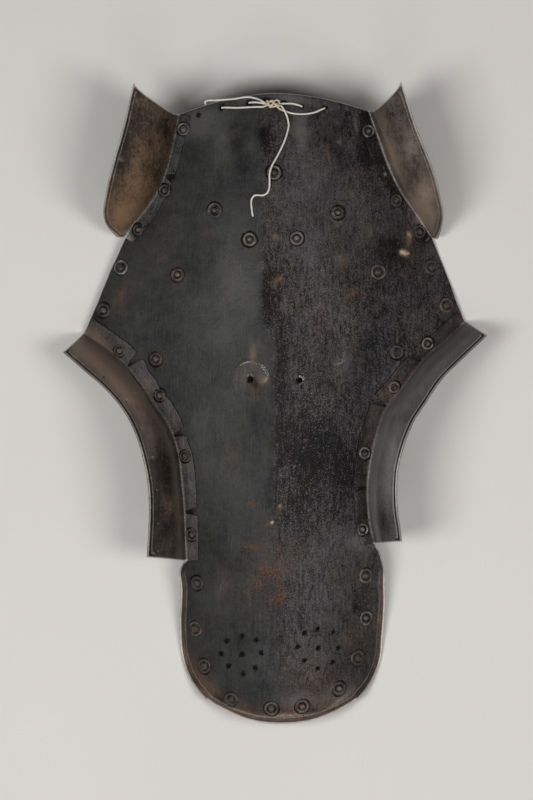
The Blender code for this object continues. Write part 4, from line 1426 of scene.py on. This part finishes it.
WIDE_LEFT, WIDE_RIGHT = LACING_HOLES[1], LACING_HOLES[6]
NARROW_LEFT, NARROW_RIGHT = LACING_HOLES[2], LACING_HOLES[5]
STRING_ROUTES = {
    # x, y, lift above a twine that lies on the face
    "string_tail": [
        (6.8, 280.9, 2.4), (9.2, 276.8, 2.8), (12.3, 270.2, 0.8), (13.6, 263.9, 0), (12.3, 256.8, 0),
        (9.5, 248.1, 0), (5.6, 239.5, 0), (1.6, 231.6, 1.2), (-1.9, 224.5, 2.8), (-3.7, 217.4, 3.4),
        (-4, 209.5, 1.2), (-4.6, 203.2, 0), (-6.6, 199.1, 0), (-10, 197.2, 0), (-14.4, 197.3, 0),
        (-18.4, 196.8, 0), (-20.6, 194, 0), (-21.2, 189.6, 0), (-20.6, 183.2, 0), (-19.7, 177.2, 0),
    ],
    "string_end_back": [
        (-9.2, 285, 3), (-14, 288, 1.2), (-22.3, 290.4, 0), (-38.5, 288.8, 0), (-50, 288, 0),
        (-57, 287.6, 0), (-61.5, 287.6, 0.3), (-65.2, 286.6, -1.05), (-66, 285, -3.45),
        (-64.5, 282, BEHIND - 0.6), (-61, 278, BEHIND - 0.2),
    ],
    "string_loop_wide": [
        (-9.4, 281, 0.6), (-20, 281, 0), (-34, 280.4, 0),
        *passage(WIDE_LEFT, (-34, 280.4), (-34, 276)),
        (-34, 276.5, BEHIND), (-12, 274.5, BEHIND), (12, 274.5, BEHIND), (32, 276.5, BEHIND),
        *passage(WIDE_RIGHT, (32, 276.5), (40, 277), down=False),
        (38, 276, 0), (28, 274.4, 0), (17, 275, 0), (7.6, 277.8, 0.2),
    ],
    "string_loop_narrow": [
        (-9.6, 284.2, 0), (-14, 285.2, 0),
        *passage(NARROW_LEFT, (-14, 285.2), (-12, 281)),
        (-12, 281.5, BEHIND), (2, 280, BEHIND), (15, 280.5, BEHIND),
        *passage(NARROW_RIGHT, (15, 280.5), (20, 283.4), down=False),
        (18, 284, 0.3), (6.8, 283.9, 0.9),
    ],
}


def evened(points, step):
    """Points along a line at equal steps."""
    points = np.array(points, float)
    run = np.concatenate(([0.0], np.cumsum(np.linalg.norm(np.diff(points, axis=0), axis=1))))
    places = np.linspace(0, run[-1], max(int(run[-1] / step), 2) + 1)
    return [Vector([np.interp(place, run, points[:, axis]) for axis in range(3)]) for place in places]


def laid(route, step):
    """A twine's middle line at equal steps, smooth through the stations of its route."""
    places = np.linspace(0, len(route) - 1, len(route) * ROUTE_FINE)
    return evened([on_face(x, y, CORD_ROOM + lift) for x, y, lift in through(route, places)], step)


def add_tube(bm, points, radius):
    """A twisted cord along points: a grid rolled round them, closed along its seam and at its ends."""
    made, table = grid(CORD_SIDES, len(points) - 1, "groove")
    groove = made.verts.layers.float["groove"]
    side = (points[1] - points[0]).orthogonal().normalized()
    run = 0.0
    for i, point in enumerate(points):
        way = points[min(i + 1, len(points) - 1)] - points[max(i - 1, 0)]
        way.normalize()
        side = (side - way * side.dot(way)).normalized()
        other = way.cross(side)
        run += (point - points[i - 1]).length if i else 0.0
        for column, vertex in enumerate(table[i]):
            angle = math.tau * column / CORD_SIDES
            sunk = 0.5 - 0.5 * math.cos(PLIES * angle + math.tau * run / PLY_PITCH)
            reach = radius * (1 - PLY_DEPTH * sunk)
            vertex.co = point + (side * math.cos(angle) + other * math.sin(angle)) * reach
            vertex[groove] = sunk
    bmesh.ops.remove_doubles(made, verts=made.verts, dist=CORD_WELD)
    bmesh.ops.holes_fill(made, edges=[edge for edge in made.edges if edge.is_boundary], sides=0)
    bmesh.ops.recalc_face_normals(made, faces=made.faces)
    tube = new_mesh("tube", made)
    bm.from_mesh(tube)
    bpy.data.meshes.remove(tube)


def twine_piece(node, strands, radius, finish):
    bm = bmesh.new()
    bm.verts.layers.float.new("groove")
    for points in strands:
        add_tube(bm, points, radius)
    return piece_from(bm, node.replace("string", "twine"), finish, node)


def make_string(finish):
    """The free ends come first, then the two loops through the holes."""
    for node, route in STRING_ROUTES.items():
        piece = twine_piece(node, [laid(route, CORD_STEP)], CORD, finish)
        if node in ("string_tail", "string_end_back"):
            path = [tuple((point + MIDDLE) * MM) for point in laid(route, PATH_STEP)]


def make_knot(finish):
    """The strands that run into each other between the four twines, and the wraps that hold them."""
    strands = [laid(route, CORD_STEP) for route in KNOT_STRANDS]
    knot = twine_piece("string_knot", strands, CORD * KNOT_CORD, finish)
    write_attribute(knot.data, "soil", np.full(len(knot.data.vertices), KNOT_SOIL))


# ---------------------------------------------------------------- marks left by use, with painted shade, sheen and highlights among them

PLATE_MARKS = {
    # what a mark changes: x, y, reach along, reach across, turn, amount
    "tone": (
        # dark streaks beside the keel
        (-6, 103, 36, 8, 88, -0.58), (8, 92, 44, 6, 92, -0.3), (-8, 250, 16, 8, 95, -0.65),
        (-37, 250, 15, 9, 100, -0.35), (-30, 225, 14, 8, 80, -0.3), (6, 20, 60, 7, 90, -0.18),
        (30, -52, 58, 28, 85, -0.33), (66, -62, 42, 14, 88, -0.42), (95, 55, 26, 16, 60, -0.25),
        # (92, 215) here and (88, 240) further on are a painted shadow beside the right ear guard's tabs
        (56, 235, 22, 12, 110, -0.25), (92, 215, 36, 9, 112, -0.27), (115, 150, 18, 16, 30, -0.25),
        # paler and darker places
        # (-42, 105) here and (-70, -35) further on are a painted sheen left of the keel
        (-42, 105, 60, 22, 85, 0.2), (34, 140, 40, 14, 100, 0.22), (40, 215, 36, 12, 88, 0.14),
        (-70, 258, 22, 10, 20, 0.18), (24, 262, 12, 8, 90, 0.16), (66, 42, 16, 10, 80, 0.3),
        (82, -128, 10, 7, 90, 0.42), (-100, 72, 40, 18, 70, -0.12), (52, -276, 14, 6, 40, 0.25),
        (-72, 269, 24, 12, 18, 0.8), (-50, 250, 20, 10, 90, 0.38), (-127, 136, 26, 12, 70, 0.16),
        (-146, 96, 24, 10, 66, 0.18), (-90, 98, 36, 16, 80, 0.12), (-70, -35, 46, 14, 96, 0.13),
        (-4, -92, 34, 10, 92, -0.16), (-12, -8, 24, 10, 90, -0.12), (44, -54, 30, 12, 88, -0.16),
        (53, -25, 14, 10, 0, -0.16), (148, 89, 14, 10, 110, -0.14), (86, -132, 14, 10, 100, 0.35),
        (-51, -187, 30, 9, 90, 0.16), (25, -187, 30, 16, 90, -0.13), (0, -230, 32, 16, 90, -0.13),
        (18, -283, 28, 9, 0, 0.44), (64, -284, 16, 7, 35, 0.2), (100, 58, 16, 12, 60, 0.22),
        (-65, 188, 14, 10, 0, -0.08), (-23, 193, 14, 9, 90, -0.09), (67, 260, 14, 10, 20, -0.14),
        # (17, 289), (-22, 289.5), (46, 282) and (9, 288) from here on are a painted highlight along the
        # crest's edge
        (22, 272, 14, 8, 90, 0.18), (17, 289, 16, 4.6, 172, 1.2), (-22, 289.5, 13, 4, 8, 0.5),
        (46, 282, 12, 4, 165, 0.25), (-45, 105, 90, 40, 92, 0.05), (88, 240, 22, 8, 108, -0.4),
        (26, 252, 24, 8, 90, 0.6), (55, 231, 12, 8, 90, 0.28), (75, -132, 12, 9, 90, 0.3),
        (9.5, 93, 17, 2.6, 90, 0.6), (63, 136, 9, 7, 0, 0.26), (-120, 112, 46, 16, 72, 0.16),
        (-8, -175, 72, 30, 90, -0.17), (82, -188, 22, 12, 90, -0.3), (-20, -22, 36, 12, 90, -0.13),
        (62, -278, 16, 8, 35, 0.3), (-64, -190, 34, 12, 92, 0.12), (118, 62, 12, 12, 0, -0.16),
        (-108, 132, 50, 30, 70, 0.13), (-51, 231, 34, 16, 80, 0.08), (9, 288, 16, 7, 170, 0.14),
        (-56, -210, 30, 14, 90, 0.07), (-46, 80, 34, 24, 90, -0.05), (34, 95, 24, 10, 90, -0.08),
        (-23, 8, 24, 10, 90, -0.06), (29, -101, 30, 14, 90, -0.07), (10, -220, 44, 14, 90, -0.06),
        (-9, 179, 42, 14, 90, -0.07), (24, -282, 10, 7, 0, 0.4), (63, 136, 10, 9, 0, 0.14),
        (101, 212, 10, 8, 0, 0.14), (-70, 262, 24, 12, 90, 0.2), (-32, 222, 14, 8, 90, 0.1),
        (78, 264, 8, 1.7, 104, 0.85), (86, 166, 20, 10, 90, 0.1), (85, 38, 22, 12, 90, 0.1),
        (-30, 68, 22, 12, 90, -0.05), (22, -112, 44, 14, 90, -0.05), (-51, -282, 9, 6, 150, -0.32),
        (1, 158, 3, 2.4, 0, 0.3), (4, 117, 7, 4, 20, 0.42), (-20, 45, 11, 2.6, 88, 0.34),
        (-25, 26, 8, 6, 0, 0.12), (-17.5, 18, 5, 3.4, 130, -0.5), (-20, 27, 4, 5, 0, -0.25),
        (-10.5, 22, 4, 2.6, 50, 0.35), (-62, -270, 22, 8, 130, 0.22), (-50, -283, 14, 7, 150, -0.14),
        # (-52, -288), (6, -301), (66, -286) and (-84, -245) are a painted highlight along the nose end's rim
        (-52, -288, 30, 5, 149, 0.26), (6, -301, 40, 4, 0, 0.24), (66, -286, 26, 4, 36, 0.16),
        (-84, -245, 22, 4, 106, 0.18), (129, 156, 9, 2.2, 82, 0.6),
    ),
    "worn": (
        # the three along the nose end's rim, (10, -297), (-32, -293) and (62, -283), are a painted highlight
        (69.6, 278.6, 2.4, 0.8, 25, 0.5), (10, -297, 26, 1.3, 2, 0.42), (-32, -293, 16, 1.2, 164, 0.25),
        (62, -283, 14, 1.2, 34, 0.25), (124, 143, 4.2, 2.4, 155, 0.6), (62.5, 38.5, 5, 0.9, 20, 0.4),
    ),
    "brown": (
        (-147, 101, 16, 7, 70, 0.95), (-104, 138, 5, 4, 0, 0.55), (-60, 160, 7, 5, 0, 0.5),
        (-37, 253, 7, 5, 90, 0.75), (51, 239, 8, 3, 100, 1.1), (3, 118, 8, 6, 0, 1),
        (1, 158, 3, 3, 0, 0.9), (3, 90, 30, 5, 90, 0.5), (66, 133, 9, 5, 100, 0.7),
        (75, 104, 9, 6, 30, 0.75), (160, 95, 9, 4, 110, 0.95), (130, 160, 9, 3, 115, 1),
        (-20, 46, 11, 3.4, 88, 1.1), (13, 23, 5, 3, 10, 0.95), (-19, 21, 13, 10, 0, 1.05),
        (-20, 8, 6, 4, 90, 0.55), (40, 80, 40, 14, 90, 0.22), (-68, -262, 26, 11, 125, 0.9),
        (-35, -288, 30, 9, 165, 0.8), (20, -292, 34, 7, 5, 0.9), (-48, -172, 16, 9, 90, 0.4),
        (96, -206, 10, 4, 90, 0.8), (84, -162, 14, 9, 90, 0.45), (74, -222, 16, 12, 60, 0.45),
        (-80, -255, 26, 5, 112, 0.5), (45, -262, 30, 22, 20, 0.3), (-40, -50, 12, 5, 60, 0.35),
        (-45, -45, 8, 3, 70, 0.45), (128.5, 155, 10, 2.8, 82, 1.1), (124, 141, 8, 4.5, 160, 1),
    ),
    "rust": (
        (-5.7, -159, 12, 5, 0, 1.15), (-14.5, -170, 9, 5.2, 95, 1), (6.5, -174, 13, 4.6, 100, 0.8),
        (3, -186, 9, 5.5, 10, 1.05), (-21, -135.5, 12, 4.6, 170, 1.05), (-30, -176, 9, 5, 150, 0.45),
        (3, -138, 6, 5, 0, 0.55), (-21.5, -94.5, 6, 3.6, 0, 0.85), (5.7, -98, 5, 3.6, 60, 0.95),
        (-4.5, -114, 6, 4, 40, 0.75), (-8, -158, 44, 24, 80, 0.26), (18, -140, 26, 16, 80, 0.18),
        (-38, -52, 7, 5, 60, 0.35), (76, 104, 8, 6, 0, 0.4), (100, -206, 5, 3, 90, 0.85),
        (55, -278, 20, 5, 30, 0.3), (-60, -268, 22, 4, 140, 0.25), (-92, 122, 10, 9, 0, 0.35),
    ),
    "soil": (
        (-8, 22.4, 2.4, 1.6, 60, 0.3), (-1.9, -112.8, 1.3, 1.3, 0, 0.9), (5.7, -97, 1.6, 1, 80, 0.45),
        (122.6, 144, 3, 2.2, 160, 1), (126.6, 142.2, 2.6, 1.2, 20, 0.7), (128.5, 161, 3, 1.4, 120, 0.4),
        (62.5, 248.5, 2.6, 1.2, 30, 0.18), (1, 158.5, 2, 1.5, 0, 0.14), (-64, -277, 22, 2.2, 146, 0.13),
        (-28, -294, 16, 1.6, 165, 0.1), (12, -296, 30, 1.8, 2, 0.15), (64, -281, 18, 2, 38, 0.12),
        (101, -205, 7, 1.4, 90, 0.08),
    ),
}
GUARD_MARKS = {
    "ear_guard_left": {
        "tone": (
            (-102, 258, 22, 6, 97, -0.3), (-126, 268, 38, 20, 80, -0.27), (-146, 236, 28, 10, 85, -0.5),
            (-116, 222, 14, 10, 70, -0.18), (-128, 210, 18, 10, 70, 0.27), (-142, 177, 22, 15, 60, 0.62),
        ),
        "brown": (
            (-130, 215, 60, 30, 75, 0.6), (-135, 185, 18, 14, 60, 0.45),
        ),
        "rust": (
            (-129, 252, 10, 6, 80, 0.4), (-133, 205, 16, 8, 80, 0.5), (-122, 232, 12, 8, 60, 0.35),
            (-140, 185, 14, 10, 60, 0.3),
        ),
        "soil": (
            (-135.8, 257.5, 1.8, 1.3, 0, 0.6), (-121.5, 263.5, 2.2, 1.4, 30, 0.35),
            (-144.5, 232, 2, 1.4, 0, 0.5),
        ),
        "worn": (
            (-128.7, 287, 2.2, 1.4, 0, 0.4), (-139, 158.5, 6, 3.4, 120, 0.75),
        ),
    },
    "ear_guard_right": {
        "tone": (
            (140, 192, 24, 14, 60, 0.58), (145, 175, 13, 11, 60, 0.84), (121, 252, 13, 9, 90, -0.14),
            (116, 280, 24, 16, 100, -0.26), (115, 230, 20, 8, 105, 0.26), (108, 250, 30, 6, 105, 0.22),
            (118, 230, 10, 8, 90, 0.16), (134, 226, 14, 6, 80, -0.14), (143, 175, 9, 8, 0, 0.4),
        ),
        "brown": (
            (140, 192, 24, 14, 70, 0.55), (108, 246, 34, 5, 105, 0.55),
        ),
        "rust": (
            (141, 187, 12, 8, 70, 0.25),
        ),
        "worn": (
            (105.5, 218, 1.6, 1.2, 0, 0.8), (147, 157, 4, 0.6, 41, 0.4),
        ),
    },
    "eye_guard_left": {
        "brown": (
            (-165, 42, 30, 14, 140, 0.55), (-135, 5, 30, 12, 125, 0.45), (-121, 16, 14, 7, 125, 0.3),
            (-100.5, -98, 14, 8, 100, 0.8), (-170, 64, 12, 4, 140, 0.8),
        ),
        "tone": (
            (-178, 51, 34, 16, 134, 0.86), (-138, 16, 32, 11, 127, 0.4), (-108, -134, 14, 9, 90, -0.2),
            (-142, 14, 26, 14, 128, 0.66), (-122, -22, 20, 12, 115, 0.24), (-108, -60, 24, 14, 97, -0.38),
            (-106, -108, 44, 20, 92, -0.4), (-89, -25, 11, 7, 110, -0.22), (-80, -139, 9, 6, 90, 0.34),
            (-147, 27, 14, 8, 127, 0.3), (-152, 42, 26, 4.5, 137, 0.45), (-131, 11, 20, 4.5, 125, 0.35),
            (-184, 56, 10, 8, 0, 0.16), (-121, 16, 12, 6, 125, 0.24), (-156, 60, 9, 6, 140, -0.2),
            (-128.4, 19.5, 15, 1.1, 127, -1.1), (-100.5, -98, 12, 7, 100, 0.22),
        ),
        "rust": (
            (-180, 61, 8, 5, 130, 0.8), (-163, 58, 6, 2.5, 90, 0.5), (-100.5, -99, 8, 5, 100, 0.55),
            (-107, -130, 14, 6, 90, 0.2),
        ),
        "worn": (
            (-140.6, 3.3, 1.5, 1.1, 40, 0.7), (-126.4, -24.4, 1.3, 0.9, 0, 0.5),
            (-131, 10, 2.2, 0.5, 0, 0.4), (-115.5, -51, 1.2, 0.8, 20, 0.3),
        ),
        "soil": (
            (-189, 44.5, 2.4, 1.5, 0, 0.3),
        ),
    },
    "eye_guard_right": {
        "tone": (
            (168, 58, 34, 14, 45, 0.34), (130, 14, 32, 12, 50, 0.3), (108, -28, 34, 10, 105, 0.24),
            (112, -118, 26, 7, 90, -0.16), (103, -110, 24, 9, 90, -0.28), (100, -82, 16, 7, 90, -0.12),
            (120, 3, 15, 8, 55, 0.44), (82, -130, 9, 7, 90, 0.6), (148, 34, 12, 6, 45, -0.1),
            (83, -50, 34, 8, 92, -0.22), (84, -100, 26, 7, 92, -0.12), (102, -60, 40, 7, 92, 0.2),
            # (94.5, -76) here and (101, -36) below are painted light along the bend, lifting its shade
            (119, 4, 12, 8, 50, 0.32), (104, -82, 36, 4, 92, -0.1), (94.5, -76, 42, 4, 91, 0.45),
            (101, -36, 16, 4.5, 74, 0.45),
        ),
        "brown": (
            (176, 62, 14, 8, 40, 0.45), (120, -4, 24, 5, 120, 0.3),
        ),
        "rust": (
            (182, 66, 8, 5, 40, 0.35),
        ),
        "worn": (
            # (97.5, -36), (93, -80), (100.5, -36) and (90.6, -86) are a painted highlight along the bend
            (180.5, 76, 3, 1.8, 40, 0.8), (97.5, -36, 14, 1.6, 76, 0.34), (93, -80, 42, 3.4, 92, 0.12),
            (100.5, -36, 16, 3.6, 76, 0.12), (113, 4, 16, 3.2, 60, 0.1), (90.6, -86, 36, 1.6, 92, 0.28),
        ),
    },
}
GUARD_WEAR = {
    # tone and brown of the flange, a band of painted light beside the crease (a little painted shade on the
    # left ear guard), a line of painted highlight and wear on it, the tabs' tone and brown
    "ear_guard_left": (-0.02, 0.55, -0.05, 0.05, 0.00, 0.04),
    "ear_guard_right": (-0.02, 0.38, 0.30, 0.45, -0.45, 0.26),
    "eye_guard_left": (-0.02, 0.20, 0.34, 0.20, 0.10, 0.15),
    "eye_guard_right": (0.12, 0.05, 0.70, 0.24, -0.22, 0.55),
}
PITS = (
    # small pits in the left eye guard's flange: x, y
    (-160.9, 25.7), (-140.3, 2.9), (-126.4, -23.9), (-115.7, -50.8), (-111.5, -82.2), (-110.7, -114.5),
    (-110.7, -140.9),
)

# ---------------------------------------------------------------- making

GUARD_FINISHES = {
    # dark and light of the flange, its brown, and how cloudy it is, how much painted shade darkens its rim
    # groove, how speckled and how lined it is
    "ear_guard_left": (
        ((0.020, 0.016, 0.013), (0.230, 0.190, 0.150)),
        (0.300, 0.190, 0.115),
        {"cloudy": 1.1, "groove": 0.15, "speckle": 0.36},
    ),
    "ear_guard_right": (
        ((0.026, 0.023, 0.021), (0.250, 0.215, 0.190)),
        (0.330, 0.240, 0.180),
        {"cloudy": 1.1, "groove": 0.12, "speckle": 0.30},
    ),
    "eye_guard_left": (
        ((0.018, 0.015, 0.013), (0.205, 0.179, 0.158)),
        (0.256, 0.174, 0.130),
        {"cloudy": 0.8, "groove": 0.8, "speckle": 0.16, "pits": PITS},
    ),
    "eye_guard_right": (
        ((0.022, 0.0215, 0.021), (0.250, 0.243, 0.240)),
        (0.190, 0.150, 0.125),
        {"cloudy": 0.9, "groove": 0.9, "speckle": 0.14, "inner": 0.6},
    ),
}
TAB_TINTS = ((0.010, 0.0098, 0.0096), (0.147, 0.146, 0.142))
RIVET_FINISHES = (
    # dark and light, brown
    (((0.009, 0.009, 0.009), (0.128, 0.124, 0.121)), (0.155, 0.098, 0.065)),
    (((0.009, 0.008, 0.007), (0.136, 0.121, 0.113)), (0.165, 0.108, 0.075)),
)

set_camera()
set_floor()
set_lights()
make_string(waxed_twine())
make_knot(bpy.data.materials["waxed_twine"])
make_face_plate(
    aged_iron(
        "plate_iron_finish",
        smooth=((0.008, 0.008, 0.0084), (0.100, 0.100, 0.099)),
        grained=((0.006, 0.0057, 0.0068), (0.133, 0.129, 0.129)),
        brown=(0.190, 0.125, 0.090),
        lip=(3.5, 0.9),
        keeled=True,
        groove=0.28,
        speckle=0.15,
    )
)
for guard, (tints, brown, looks) in GUARD_FINISHES.items():
    look = aged_iron(f"{guard}_finish", tints, TAB_TINTS, brown, lip=(2.7, 0.35), grit=0.35, **looks)
    make_guard(guard, look)
rivet_looks = []
for tints, brown in RIVET_FINISHES:
    name = f"rivet_finish_{len(rivet_looks)}"
    rivet_looks.append(aged_iron(name, tints, tints, brown, lip=(3.0, 0.35)))
make_rivets(rivet_looks)
